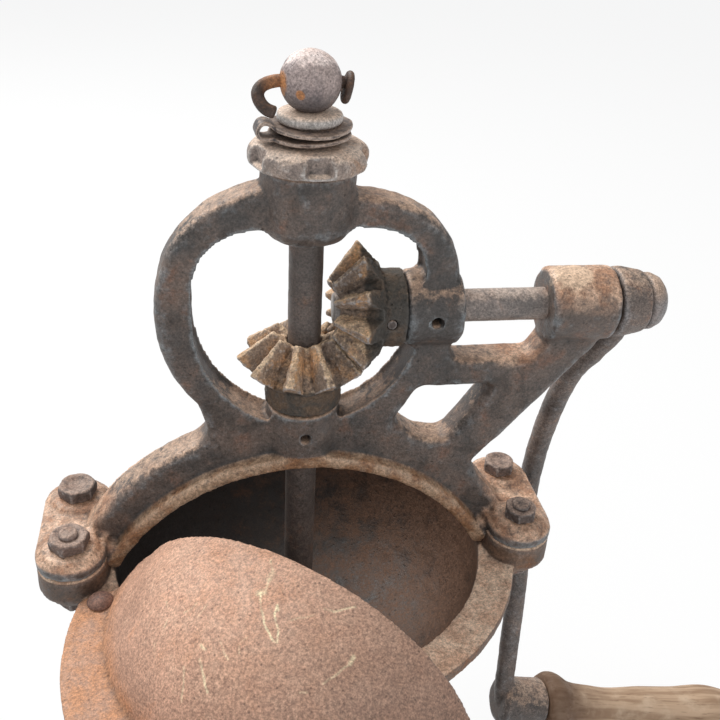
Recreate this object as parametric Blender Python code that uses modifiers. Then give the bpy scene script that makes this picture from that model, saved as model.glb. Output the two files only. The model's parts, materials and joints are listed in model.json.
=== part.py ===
"""Cast iron hand mill with a bevel-gear crank, modelled piece by piece.

Metres, +Z up. The origin is on the spindle axis, on the face that the foot stands on.
+X points towards the crank, and -Y is the front, where the lid is.
Heights named ..._UP are measured from the top of the hopper's rim.
"""
import math

import bmesh
import bpy
from mathutils import Matrix, Vector

# Clearances
SEAT_GAP = 0.0003        # between pieces that touch
RUN_GAP = 0.0003         # around a shaft in its bearing
WALL_OVERLAP = 0.001     # how far a cast boss or cutter reaches past what it meets

# Hopper
RIM_Z = 0.150
MOUTH_RADIUS = 0.066
RIM_WIDTH = 0.013
RIM_RADIUS = MOUTH_RADIUS + RIM_WIDTH
RIM_THICKNESS = 0.005
BOWL_DEPTH = 0.050
BOWL_WALL = 0.0045
BOWL_ROUNDNESS = 2.2
THROAT_RADIUS = 0.018
THROAT_WALL = 0.006
NECK_LENGTH = 0.018        # from the bowl's floor to the flange's lower face
NECK_DROP = BOWL_DEPTH + NECK_LENGTH
NECK_FLANGE_RADIUS = 0.0445
NECK_FLANGE_THICKNESS = 0.006

# Ears and their bolts
EAR_INSET = 0.0005        # the bolts stand this far inside the rim's edge
EAR_X = RIM_RADIUS - EAR_INSET
EAR_Y = 0.0
EAR_BOLT_SPREAD = 0.0136
EAR_RADIUS = 0.0115
EAR_SEAM_UP = 0.008       # the hopper's ears stand above its rim
EAR_LOW_UP = -0.002
EAR_THICKNESS = 0.0044
EAR_PAD_RADIUS = 0.0092
EAR_PAD_HEIGHT = 0.0018
BOLT_RADIUS = 0.0032
BOLT_FLATS = {"left": 0.0120, "right": 0.0106}
BOLT_HEAD_HEIGHT = 0.0044
NUT_HEIGHT = 0.0042
THREAD_END = 0.0014

# Yoke: an arch over the hopper that carries a ring and a bracket
YOKE_THICKNESS = 0.0136
YOKE_EDGE_ROUND = 0.0030
ARCH_CENTRE_UP = -0.0328
ARCH_FOOT_INSET = 0.0069
ARCH_WIDTH = 0.0154
ARCH_INNER_RADIUS = EAR_X - ARCH_FOOT_INSET
ARCH_OUTER_RADIUS = ARCH_INNER_RADIUS + ARCH_WIDTH
LEDGE_THICKNESS = 0.0046
LEDGE_REACH = 0.0044
AXIS_UP = 0.0938
RING_LEFT = 0.0465        # reach of the ring's outline from where the two axes cross
RING_RIGHT = 0.0488
RING_UP_LEFT = 0.0430
RING_UP_RIGHT = 0.0400
RING_DOWN = 0.0470
RING_SQUARE_LEFT = 2.25   # 2 is an ellipse, and more is squarer
RING_SQUARE_RIGHT = 2.9
RING_HOLE_LEFT = 0.0366
RING_HOLE_RIGHT = 0.0384
RING_HOLE_UP = 0.0316
RING_HOLE_DOWN = 0.0410
RING_HOLE_SQUARE_LEFT = 3.2
RING_HOLE_SQUARE_RIGHT = 4.0
ARM_TOP_UP = 0.0762
ARM_LOW_UP = 0.0662
TOP_BOSS_RADIUS = 0.0142
TOP_BOSS_LOW_UP = 0.1195
TOP_BOSS_HIGH_UP = 0.1412
LOW_BOSS_RADIUS = 0.0120
LOW_BOSS_LOW_UP = 0.0432
LOW_BOSS_HIGH_UP = 0.0598
CRANK_BOSS_RADIUS = 0.0123
INNER_BOSS_X = (0.0312, 0.0497)
OUTER_BOSS_X = (EAR_X + 0.0006, EAR_X + 0.0235)
OIL_HOLE_RADIUS = 0.0016

# Shafts and bevel gears
SHAFT_RADIUS = 0.00535
SPINDLE_FOOT_Z = 0.0080
GEAR_TEETH = 10
GEAR_MODULE = 0.00385
GEAR_INNER_SHARE = 0.46
GEAR_BACKLASH = 0.00050
GEAR_HUB_RADIUS = 0.0126
GEAR_ROOM = 0.0007        # round a gear's hub, where it turns beside the ring
PRESSURE_ANGLE = math.radians(20)
PIN_RADIUS = 0.0016
PIN_DISTANCE = 0.0100

# Top adjuster
WHEEL_RADIUS = 0.0177
WHEEL_NOTCH_RADIUS = 0.0146
WHEEL_LOBES = 8
WHEEL_THICKNESS = 0.0066
SLEEVE_RADIUS = 0.0082
SLEEVE_LENGTH = 0.0300
COLLAR_RADIUS = 0.0094
COLLAR_THICKNESS = 0.0030
LIFT_TRAVEL = 0.0010
CLIP_SHEET = 0.0012
CLIP_OPENING = 0.0017
CLIP_RADIUS = 0.0125
BALL_RADIUS = 0.0087
BALL_NECK = 0.0077
SPINDLE_TIP_RADIUS = 0.0032
WIRE_RADIUS = 0.0018
GUIDE_SCREW_RADIUS = 0.0020

# Crank
CRANK_EYE_RADIUS = 0.0119
CRANK_EYE_LENGTH = 0.0112
CRANK_BAR_RADIUS = 0.0042
CRANK_THROW = 0.2065      # from the shaft down to the handle's boss
CRANK_BEND = 0.0225       # how far back the arm bows
CRANK_LEAN = 0.0068       # how far in from the eye the handle's boss stands
HANDLE_BACK = 0.0055
CRANK_BOSS_LENGTH = 0.0215
HANDLE_BOSS_BACK = 0.0026
HANDLE_BOSS_RADIUS = 0.0106
END_NUT_RADIUS = 0.0096
END_NUT_LENGTH = 0.0065
GRIP_TILT = math.radians(12)
GRIP_LENGTH = 0.108
GRIP_COLLAR_RADIUS = 0.0136
GRIP_NECK_RADIUS = 0.0078
GRIP_BELLY_RADIUS = 0.0115
GRIP_ROD_RADIUS = 0.0032
GRIP_WASHER_RADIUS = 0.0070
GRIP_WASHER_THICKNESS = 0.0015

# Lid
LID_SHEET = 0.0022
LID_PIVOT_INSET = 0.004784   # from the rim's edge to the rivet
LID_PIVOT_ANGLE = math.radians(202.8337)
LID_PIVOT = ((RIM_RADIUS - LID_PIVOT_INSET) * math.cos(LID_PIVOT_ANGLE),
             (RIM_RADIUS - LID_PIVOT_INSET) * math.sin(LID_PIVOT_ANGLE))
LID_OPEN = math.radians(39)
LID_STOP = math.radians(51)   # where its flange meets the ear
LID_BACK = 0.0132         # how far in front of the shafts the lid's straight edge is
LID_BEND_INSET = 0.0042
LID_BEND_RADIUS = MOUTH_RADIUS - LID_BEND_INSET
LID_HEIGHT = 0.0410
LID_OVERHANG = 0.0023
LID_FLANGE_RADIUS = RIM_RADIUS + LID_OVERHANG
LID_EAR_GAP = 0.0015
RIVET_RADIUS = 0.0022
RIVET_HEAD_RADIUS = 0.0043
RIVET_HEAD_HEIGHT = 0.0026

# Burrs and foot
BURR_RING_RADIUS = 0.0260
BURR_RING_HEIGHT = 0.0190
BURR_RING_TOP_BORE = 0.0180
BURR_RING_LOW_BORE = 0.0222
BURR_TEETH = 14
BURR_TOOTH_DEPTH = 0.0016
BURR_CONE_TOP_RADIUS = 0.0098
BURR_CONE_RISE = 0.0050
BURR_GAP = 0.0007
HOUSING_WALL = 0.0042
FOOT_RADIUS = 0.0680
FOOT_THICKNESS = 0.0060
FOOT_HOLE_CIRCLE = 0.0580
FOOT_HOLE_RADIUS = 0.0035
FOOT_SKIRT_RADIUS = 0.0480
FOOT_WALL = 0.0045
BRIDGE_WIDTH = 0.0200
BRIDGE_THICKNESS = 0.0090
STEADY_BOSS_RADIUS = 0.0110
STEADY_BOSS_HEIGHT = 0.0240
STEADY_FLOOR = 0.0055
NECK_BOLT_CIRCLE = 0.0382
NECK_BOLT_RADIUS = 0.0029
NECK_BOLT_FLATS = 0.0100
NECK_BOLT_COUNT = 3

ROUND = 32      # sides of a large round
FINE = 16       # sides of a small round


# Scene set-up

for old in list(bpy.data.objects):
    bpy.data.objects.remove(old, do_unlink=True)

MILL = bpy.data.collections.new("hand_mill")
CUTTERS = bpy.data.collections.new("cutters")
bpy.context.scene.collection.children.link(MILL)
bpy.context.scene.collection.children.link(CUTTERS)


def material(name, colour, roughness, metallic):
    """A plain Principled material."""
    made = bpy.data.materials.new(name)
    made.use_nodes = True
    shader = made.node_tree.nodes["Principled BSDF"]
    shader.inputs["Base Color"].default_value = (*colour, 1.0)
    shader.inputs["Roughness"].default_value = roughness
    shader.inputs["Metallic"].default_value = metallic
    return made


CAST = material("cast_iron", (0.105, 0.075, 0.060), 0.75, 0.55)
RUSTY = material("rusty_iron", (0.230, 0.120, 0.065), 0.85, 0.30)
STEEL = material("worn_steel", (0.130, 0.105, 0.095), 0.60, 0.75)
LID_IRON = material("lid_iron", (0.260, 0.160, 0.115), 0.80, 0.35)
WOOD = material("grip_wood", (0.330, 0.190, 0.110), 0.60, 0.0)


def empty(name, place):
    """A marker on a joint's axis, which the pieces that turn there hang from."""
    made = bpy.data.objects.new(name, None)
    made.location = place
    MILL.objects.link(made)
    return made


SPINDLE_AXIS = empty("spindle_axis", (0, 0, RIM_Z))
CRANK_AXIS = empty("crank_axis", (0, 0, RIM_Z + AXIS_UP))


def solid(name, mesh, surface, parent=None, place=(0, 0, 0), turn=(0, 0, 0)):
    """Put a finished mesh in the mill as a named piece."""
    made = bpy.data.objects.new(name, mesh)
    made.data.materials.clear()
    made.data.materials.append(surface)
    made.location = place
    made.rotation_euler = turn
    made.parent = parent
    MILL.objects.link(made)
    mesh.shade_smooth()
    mesh.set_sharp_from_angle(angle=math.radians(35))
    return made


def evaluated_mesh(made):
    """The mesh that an object's modifiers or curve settings give, in world space."""
    bpy.context.view_layer.update()
    graph = bpy.context.evaluated_depsgraph_get()
    mesh = bpy.data.meshes.new_from_object(made.evaluated_get(graph))
    mesh.transform(made.matrix_world)
    return mesh


def sealed(mesh, reach=1e-6):
    """Weld a mesh's seams and turn its faces outwards."""
    work = bmesh.new()
    work.from_mesh(mesh)
    bmesh.ops.remove_doubles(work, verts=work.verts, dist=reach)
    bmesh.ops.dissolve_degenerate(work, edges=work.edges, dist=reach)
    bmesh.ops.recalc_face_normals(work, faces=work.faces)
    work.to_mesh(mesh)
    work.free()
    return mesh


def helper(name, data):
    """An object that is used for its shape only."""
    made = bpy.data.objects.new(name, data)
    made.hide_render = True
    made.display_type = "WIRE"
    CUTTERS.objects.link(made)
    return made


def discard(made):
    data = made.data
    bpy.data.objects.remove(made, do_unlink=True)
    if isinstance(data, bpy.types.Curve):
        bpy.data.curves.remove(data)


# Shapes

def flat_ends(mesh):
    """Make each flat end of a turned shape a single face."""
    work = bmesh.new()
    work.from_mesh(mesh)
    hubs = []
    for vert in work.verts:
        level = all(abs(edge.other_vert(vert).co.z - vert.co.z) < 1e-7 for edge in vert.link_edges)
        if level and vert.co.xy.length < 1e-6:
            hubs.append(vert)
    bmesh.ops.dissolve_verts(work, verts=hubs)
    work.to_mesh(mesh)
    work.free()
    return mesh


def turned(profile, sides=ROUND):
    """Turn a closed or axis-to-axis (radius, height) profile about Z with a Screw modifier."""
    mesh = bpy.data.meshes.new("profile")
    on_axis = profile[0][0] == 0 and profile[-1][0] == 0
    edges = [(i, i + 1) for i in range(len(profile) - 1)]
    if not on_axis:
        edges.append((len(profile) - 1, 0))
    mesh.from_pydata([(r, 0, z) for r, z in profile], edges, [])
    made = helper("turning", mesh)
    screw = made.modifiers.new("turn", "SCREW")
    screw.axis = "Z"
    screw.steps = sides
    screw.render_steps = sides
    screw.use_merge_vertices = True
    screw.merge_threshold = 0.00001
    result = flat_ends(sealed(evaluated_mesh(made)))
    discard(made)
    return result


def tube(radius, low, high, sides=FINE, bore=0.0):
    """A cylinder along Z, with a bore where one is given."""
    if bore:
        return turned([(radius, high), (radius, low), (bore, low), (bore, high)], sides)
    return turned([(0, high), (radius, high), (radius, low), (0, low)], sides)


def along_x(mesh):
    """Lay a shape that was made along Z down along X."""
    mesh.transform(Matrix.Rotation(math.radians(90), 4, "Y"))
    return mesh


def along_y(mesh):
    """Lay a shape that was made along Z back along Y."""
    mesh.transform(Matrix.Rotation(math.radians(-90), 4, "X"))
    return mesh


def moved(mesh, x=0.0, y=0.0, z=0.0):
    mesh.transform(Matrix.Translation((x, y, z)))
    return mesh


def block(low, high):
    """A box between two corners."""
    work = bmesh.new()
    bmesh.ops.create_cube(work, size=1.0)
    size = Vector(high) - Vector(low)
    bmesh.ops.scale(work, vec=size, verts=work.verts)
    bmesh.ops.translate(work, vec=(Vector(high) + Vector(low)) / 2, verts=work.verts)
    mesh = bpy.data.meshes.new("block")
    work.to_mesh(mesh)
    work.free()
    return mesh


def hexagon(flats, low, high, turn=0.0):
    """A six-sided bar along Z."""
    work = bmesh.new()
    bmesh.ops.create_cone(work, cap_ends=True, segments=6, radius1=flats / math.sqrt(3),
                          radius2=flats / math.sqrt(3), depth=high - low)
    bmesh.ops.rotate(work, verts=work.verts, cent=(0, 0, 0), matrix=Matrix.Rotation(turn, 3, "Z"))
    bmesh.ops.translate(work, vec=(0, 0, (low + high) / 2), verts=work.verts)
    mesh = bpy.data.meshes.new("hexagon")
    work.to_mesh(mesh)
    work.free()
    return mesh


def plate(outlines, thickness, rounding=0.0, steps=1):
    """A flat plate from 2D outlines, the first with any others as holes, centred on Z = 0."""
    curve = bpy.data.curves.new("outline", "CURVE")
    curve.dimensions = "2D"
    curve.fill_mode = "BOTH"
    curve.extrude = thickness / 2 - rounding
    curve.bevel_depth = rounding
    curve.offset = -rounding
    curve.bevel_resolution = steps
    for outline in outlines:
        spline = curve.splines.new("POLY")
        spline.points.add(len(outline) - 1)
        for point, (x, y) in zip(spline.points, outline):
            point.co = (x, y, 0, 1)
        spline.use_cyclic_u = True
    made = helper("plate", curve)
    mesh = sealed(evaluated_mesh(made))
    discard(made)
    return mesh


def upright(mesh):
    """Stand a plate that was drawn in XY up in the XZ plane."""
    mesh.transform(Matrix.Rotation(math.radians(90), 4, "X"))
    return mesh


def bar(points, radius, resolution=2):
    """A round bar along a smooth line through the points, with filled ends."""
    curve = bpy.data.curves.new("bar", "CURVE")
    curve.dimensions = "3D"
    curve.bevel_depth = radius
    curve.bevel_resolution = resolution
    curve.use_fill_caps = True
    spline = curve.splines.new("POLY")
    spline.points.add(len(points) - 1)
    for place, point in zip(spline.points, points):
        place.co = (*point, 1)
    made = helper("bar", curve)
    mesh = sealed(evaluated_mesh(made), 1e-5)
    discard(made)
    return mesh


def smooth_line(points, steps=4):
    """Points on a smooth curve through the given ones."""
    points = [Vector(p) for p in points]
    ends = [points[0] * 2 - points[1], *points, points[-1] * 2 - points[-2]]
    line = []
    for i in range(1, len(ends) - 2):
        before, here, there, after = ends[i - 1:i + 3]
        for k in range(steps):
            t = k / steps
            line.append(0.5 * (2 * here + (there - before) * t
                               + (2 * before - 5 * here + 4 * there - after) * t ** 2
                               + (3 * here - before - 3 * there + after) * t ** 3))
    line.append(points[-1])
    return line


def rounded(corners, steps=4):
    """An outline with each (x, y, radius) corner rounded."""
    outline = []
    count = len(corners)
    for i, (x, y, radius) in enumerate(corners):
        here = Vector((x, y))
        if radius == 0:
            outline.append(tuple(here))
            continue
        back = (Vector(corners[i - 1][:2]) - here).normalized()
        ahead = (Vector(corners[(i + 1) % count][:2]) - here).normalized()
        half = back.angle(ahead) / 2
        reach = radius / math.tan(half)
        centre = here + (back + ahead).normalized() * (radius / math.sin(half))
        start = here + back * reach - centre
        end = here + ahead * reach - centre
        sweep = start.angle_signed(end)
        for k in range(steps + 1):
            turn = Matrix.Rotation(-sweep * k / steps, 2)
            outline.append(tuple(centre + turn @ start))
    return outline


def arc(cx, cy, radius, start, end, steps):
    """Points on an arc, in degrees, counter-clockwise from +X."""
    found = []
    for k in range(steps + 1):
        angle = math.radians(start + (end - start) * k / steps)
        found.append((cx + radius * math.cos(angle), cy + radius * math.sin(angle)))
    return found


def joined(target, additions=(), cuts=()):
    """Unite shapes with a mesh, then cut others from it."""
    made = helper("work", target)
    others = []
    for mesh, operation in [(m, "UNION") for m in additions] + [(m, "DIFFERENCE") for m in cuts]:
        other = helper("tool", mesh)
        others.append(other)
        boolean = made.modifiers.new("join", "BOOLEAN")
        boolean.operation = operation
        boolean.solver = "EXACT"
        boolean.object = other
    result = sealed(evaluated_mesh(made), 2e-6)
    for other in [made, *others]:
        discard(other)
    return result


def loft(rings):
    """Join closed rings of equal count in turn, the last back to the first."""
    work = bmesh.new()
    rows = [[work.verts.new(point) for point in ring] for ring in rings]
    count = len(rings[0])
    for row, following in zip(rows, rows[1:] + rows[:1]):
        for i in range(count):
            k = (i + 1) % count
            work.faces.new((row[i], row[k], following[k], following[i]))
    bmesh.ops.recalc_face_normals(work, faces=work.faces)
    mesh = bpy.data.meshes.new("loft")
    work.to_mesh(mesh)
    work.free()
    return mesh


# Hopper: an open bowl with a flat rim, two bolting ears and a flanged neck

def bowl_radius(depth, full_depth, mouth, throat):
    """Radius of the bowl at a depth below the rim."""
    share = min(depth / full_depth, 1.0)
    return throat + (mouth - throat) * (1 - share ** BOWL_ROUNDNESS) ** (1 / BOWL_ROUNDNESS)


def ear_outline(side, grow=0.0):
    """A lobe round two bolts, seen from above."""
    radius = EAR_RADIUS + grow
    back = arc(side * EAR_X, EAR_Y + EAR_BOLT_SPREAD, radius, 0, 180, 8)
    front = arc(side * EAR_X, EAR_Y - EAR_BOLT_SPREAD, radius, 180, 360, 8)
    return back + front


def ear_bolts():
    """Places of the four ear bolts, as (name, x, y, head_on_top)."""
    for side, label in ((-1, "left"), (1, "right")):
        yield f"rear_{label}", side * EAR_X, EAR_Y + EAR_BOLT_SPREAD, True
        yield f"front_{label}", side * EAR_X, EAR_Y - EAR_BOLT_SPREAD, False


def neck_bolts():
    """Places of the bolts that hold the hopper's neck on the foot."""
    for i in range(NECK_BOLT_COUNT):
        angle = math.radians(90 + 360 * i / NECK_BOLT_COUNT)
        yield i + 1, NECK_BOLT_CIRCLE * math.cos(angle), NECK_BOLT_CIRCLE * math.sin(angle)


EAR_HOLE = BOLT_RADIUS + RUN_GAP
NECK_HOLE = NECK_BOLT_RADIUS + RUN_GAP
RIVET_HOLE = RIVET_RADIUS + RUN_GAP

BOWL_STEPS = 6
inner_wall = []
outer_wall = []
for step in range(BOWL_STEPS + 1):
    bend = math.sin(math.pi / 2 * step / BOWL_STEPS)
    inner_wall.append((bowl_radius(BOWL_DEPTH * bend, BOWL_DEPTH, MOUTH_RADIUS, THROAT_RADIUS),
                       -BOWL_DEPTH * bend))
outer_depth = BOWL_DEPTH + BOWL_WALL
outer_throat = THROAT_RADIUS + THROAT_WALL
for step in range(2, BOWL_STEPS + 1):
    bend = math.sin(math.pi / 2 * step / BOWL_STEPS)
    outer_wall.append((bowl_radius(outer_depth * bend, outer_depth, MOUTH_RADIUS + BOWL_WALL,
                                   outer_throat), -outer_depth * bend))
hopper_profile = [(RIM_RADIUS, 0), (RIM_RADIUS, -RIM_THICKNESS),
                  (MOUTH_RADIUS + BOWL_WALL, -RIM_THICKNESS), *outer_wall,
                  (outer_throat, -NECK_DROP + NECK_FLANGE_THICKNESS),
                  (NECK_FLANGE_RADIUS, -NECK_DROP + NECK_FLANGE_THICKNESS),
                  (NECK_FLANGE_RADIUS, -NECK_DROP), (THROAT_RADIUS, -NECK_DROP),
                  *reversed(inner_wall)]
hopper = moved(turned(hopper_profile), z=RIM_Z)
hopper_ears = []
hopper_holes = []
for side in (-1, 1):
    lobe = plate([ear_outline(side)], EAR_SEAM_UP - EAR_LOW_UP)
    hopper_ears.append(moved(lobe, z=RIM_Z + (EAR_SEAM_UP + EAR_LOW_UP) / 2))
for _, x, y, _ in ear_bolts():
    hopper_ears.append(moved(tube(EAR_PAD_RADIUS, -RIM_THICKNESS, EAR_LOW_UP + WALL_OVERLAP), x, y, RIM_Z))
    hole = tube(EAR_HOLE, -RIM_THICKNESS - WALL_OVERLAP, EAR_SEAM_UP + WALL_OVERLAP)
    hopper_holes.append(moved(hole, x, y, RIM_Z))
for _, x, y in neck_bolts():
    hole = tube(NECK_HOLE, -NECK_DROP - WALL_OVERLAP, -NECK_DROP + NECK_FLANGE_THICKNESS + WALL_OVERLAP)
    hopper_holes.append(moved(hole, x, y, RIM_Z))
rivet_hole = tube(RIVET_HOLE, -RIM_THICKNESS - WALL_OVERLAP, WALL_OVERLAP)
hopper_holes.append(moved(rivet_hole, *LID_PIVOT, RIM_Z))
solid("hopper", joined(hopper, hopper_ears, hopper_holes), CAST)


# Yoke: one casting, an arch over the mouth with the ring and the crank bracket on it

def ring_outline(left, right, down, start, end, steps):
    """Part of the ring's outline, in degrees from +X: squarish above the crank, round below.

    Each side is its (reach, rise, squareness).
    """
    found = []
    for k in range(steps + 1):
        angle = math.radians(start + (end - start) * k / steps)
        across = math.cos(angle)
        height = math.sin(angle)
        reach, up, squareness = right if across > 0 else left
        if height > 0:
            across = math.copysign(abs(across) ** (2 / squareness), across)
            height = up * height ** (2 / squareness)
        else:
            height = down * height
        found.append((reach * across, AXIS_UP + height))
    return found


def sharp(points):
    return [(x, y, 0) for x, y in points]


ear_seat = EAR_SEAM_UP + SEAT_GAP
foot_inside_ear = EAR_X - EAR_RADIUS - SEAT_GAP
ARCH_START = 20
right_shoulder = arc(0, ARCH_CENTRE_UP, ARCH_OUTER_RADIUS, ARCH_START, 43, 5)
shoulder_x, shoulder_up = right_shoulder[-1]

yoke_outline = rounded([
    *sharp(right_shoulder),
    (shoulder_x - 0.0036, shoulder_up + 0.0070, 0.0030),
    (shoulder_x + 0.0046, shoulder_up + 0.0165, 0.0000),
    (OUTER_BOSS_X[1] - 0.0035, 0.0805, 0.0030),
    (OUTER_BOSS_X[1] - 0.0040, AXIS_UP, 0.0),
    (OUTER_BOSS_X[0] + 0.0050, AXIS_UP, 0.0),
    (OUTER_BOSS_X[0] + 0.0015, AXIS_UP - CRANK_BOSS_RADIUS + 0.0020, 0.0),
    (OUTER_BOSS_X[0] - 0.0030, ARM_TOP_UP, 0.0035),
    (RING_RIGHT + 0.0005, ARM_TOP_UP, 0.0040),
    *sharp(ring_outline((RING_LEFT, RING_UP_LEFT, RING_SQUARE_LEFT),
                        (RING_RIGHT, RING_UP_RIGHT, RING_SQUARE_RIGHT), RING_DOWN, -14, 222, 24)),
    (-0.0310, 0.0512, 0.0050),
    *sharp(arc(0, ARCH_CENTRE_UP, ARCH_OUTER_RADIUS, 114, 180 - ARCH_START, 8)),
    *sharp(arc(0, ARCH_CENTRE_UP, ARCH_INNER_RADIUS, 180 - ARCH_START, ARCH_START, 14)),
])
ring_hole = ring_outline((RING_HOLE_LEFT, RING_HOLE_UP, RING_HOLE_SQUARE_LEFT),
                         (RING_HOLE_RIGHT, RING_HOLE_UP, RING_HOLE_SQUARE_RIGHT), RING_HOLE_DOWN, 0, 345, 23)
window = rounded([
    (0.0380, ARM_LOW_UP, 0.0040),
    (0.0305, 0.0530, 0.0030),
    (0.0400, 0.0455, 0.0040),
    (0.0495, 0.0438, 0.0050),
    (0.0645, ARM_LOW_UP, 0.0020),
])
yoke = upright(plate([yoke_outline, ring_hole, window], YOKE_THICKNESS, YOKE_EDGE_ROUND, 0))

half_yoke = YOKE_THICKNESS / 2
foot_reach = half_yoke + LEDGE_REACH + WALL_OVERLAP
under_foot = block((-0.1, -foot_reach, -0.03), (0.1, foot_reach, SEAT_GAP))
beside_foot = [block((foot_inside_ear, -foot_reach, -0.03), (0.1, foot_reach, ear_seat)),
               block((-0.1, -foot_reach, -0.03), (-foot_inside_ear, foot_reach, ear_seat))]
ledge_outline = (arc(0, ARCH_CENTRE_UP, ARCH_INNER_RADIUS + LEDGE_THICKNESS, ARCH_START,
                     180 - ARCH_START, 14)
                 + arc(0, ARCH_CENTRE_UP, ARCH_INNER_RADIUS, 180 - ARCH_START, ARCH_START, 14))
ledge = upright(plate([ledge_outline], LEDGE_REACH + YOKE_EDGE_ROUND + WALL_OVERLAP))
ledge_middle = half_yoke + LEDGE_REACH - (LEDGE_REACH + YOKE_EDGE_ROUND + WALL_OVERLAP) / 2
moved(ledge, y=-ledge_middle)

SLEEVE_BORE = SLEEVE_RADIUS + RUN_GAP
SHAFT_BORE = SHAFT_RADIUS + RUN_GAP
top_boss = turned([(0, TOP_BOSS_HIGH_UP), (TOP_BOSS_RADIUS, TOP_BOSS_HIGH_UP),
                   (TOP_BOSS_RADIUS, TOP_BOSS_LOW_UP + 0.004),
                   (TOP_BOSS_RADIUS - 0.003, TOP_BOSS_LOW_UP), (0, TOP_BOSS_LOW_UP)], 28)
low_boss = tube(LOW_BOSS_RADIUS, LOW_BOSS_LOW_UP, LOW_BOSS_HIGH_UP, 28)
crank_bosses = []
for low, high in (INNER_BOSS_X, OUTER_BOSS_X):
    chamfer = 0.0012
    shape = turned([(0, high), (CRANK_BOSS_RADIUS - chamfer, high), (CRANK_BOSS_RADIUS, high - chamfer),
                    (CRANK_BOSS_RADIUS, low + chamfer), (CRANK_BOSS_RADIUS - chamfer, low), (0, low)], 24)
    crank_bosses.append(moved(along_x(shape), z=AXIS_UP))
yoke_feet = []
EAR_TOP = ear_seat + EAR_THICKNESS + EAR_PAD_HEIGHT
for side in (-1, 1):
    foot = plate([ear_outline(side)], EAR_THICKNESS)
    yoke_feet.append(moved(foot, z=ear_seat + EAR_THICKNESS / 2))
yoke_holes = [
    tube(GEAR_HUB_RADIUS + GEAR_ROOM, LOW_BOSS_HIGH_UP, LOW_BOSS_HIGH_UP + 0.012, ROUND),
    moved(along_x(tube(GEAR_HUB_RADIUS + GEAR_ROOM, INNER_BOSS_X[0] - 0.012, INNER_BOSS_X[0], ROUND)),
          z=AXIS_UP),
    tube(SHAFT_BORE, 0, LOW_BOSS_HIGH_UP + 0.010),
    tube(SLEEVE_BORE, TOP_BOSS_LOW_UP - 0.005, TOP_BOSS_HIGH_UP + WALL_OVERLAP),
    moved(along_x(tube(SHAFT_BORE, INNER_BOSS_X[0] - 0.010, OUTER_BOSS_X[1] + 0.005)), z=AXIS_UP),
]
for _, x, y, _ in ear_bolts():
    yoke_feet.append(moved(tube(EAR_PAD_RADIUS, EAR_TOP - EAR_PAD_HEIGHT - WALL_OVERLAP, EAR_TOP), x, y))
    yoke_holes.append(moved(tube(EAR_HOLE, EAR_SEAM_UP, EAR_TOP + WALL_OVERLAP), x, y))
oil_hole = along_y(tube(OIL_HOLE_RADIUS, -LOW_BOSS_RADIUS - WALL_OVERLAP, 0, 10))
yoke_holes.append(moved(oil_hole, z=(LOW_BOSS_LOW_UP + LOW_BOSS_HIGH_UP) / 2))
oil_hole = along_y(tube(OIL_HOLE_RADIUS, -CRANK_BOSS_RADIUS - WALL_OVERLAP, 0, 10))
yoke_holes.append(moved(oil_hole, x=sum(INNER_BOSS_X) / 2, z=AXIS_UP))
GUIDE_SCREW_UP = TOP_BOSS_HIGH_UP - 0.0110
guide_hole = along_y(tube(GUIDE_SCREW_RADIUS + SEAT_GAP, 0, TOP_BOSS_RADIUS + WALL_OVERLAP, 12))
yoke_holes.append(moved(guide_hole, z=GUIDE_SCREW_UP))
yoke = joined(yoke, [ledge], [under_foot, *beside_foot])
yoke = joined(yoke, [top_boss, low_boss, *crank_bosses, *yoke_feet], yoke_holes)
solid("yoke", yoke, CAST, place=(0, 0, RIM_Z))


# Ear bolts and nuts: heads on top at the rear, nuts on top at the front

NUT_BORE = BOLT_RADIUS + RUN_GAP
EAR_UNDER = -RIM_THICKNESS - SEAT_GAP
LEFT_HEX_TURN = 17
RIGHT_HEX_TURN = 8
for label, x, y, head_on_top in ear_bolts():
    flats = BOLT_FLATS[label.split("_")[1]]
    turn = math.radians(LEFT_HEX_TURN if x < 0 else RIGHT_HEX_TURN)
    if head_on_top:
        head_low = EAR_TOP + SEAT_GAP
        nut_low = EAR_UNDER - NUT_HEIGHT
        shank = tube(BOLT_RADIUS, nut_low - THREAD_END, head_low + BOLT_HEAD_HEIGHT / 2)
    else:
        head_low = EAR_UNDER - BOLT_HEAD_HEIGHT
        nut_low = EAR_TOP + SEAT_GAP
        shank = tube(BOLT_RADIUS, head_low + BOLT_HEAD_HEIGHT / 2, nut_low + NUT_HEIGHT + THREAD_END)
    head = hexagon(flats, head_low, head_low + BOLT_HEAD_HEIGHT, turn)
    nut = joined(hexagon(flats, nut_low, nut_low + NUT_HEIGHT, turn),
                 cuts=[tube(NUT_BORE, nut_low - WALL_OVERLAP, nut_low + NUT_HEIGHT + WALL_OVERLAP)])
    solid(f"ear_bolt_{label}", joined(head, [shank]), RUSTY, place=(x, y, RIM_Z))
    solid(f"ear_nut_{label}", nut, RUSTY, place=(x, y, RIM_Z))


# Foot: burr housing, skirt and floor flange in one casting, with a bridge for the spindle's end

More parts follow.
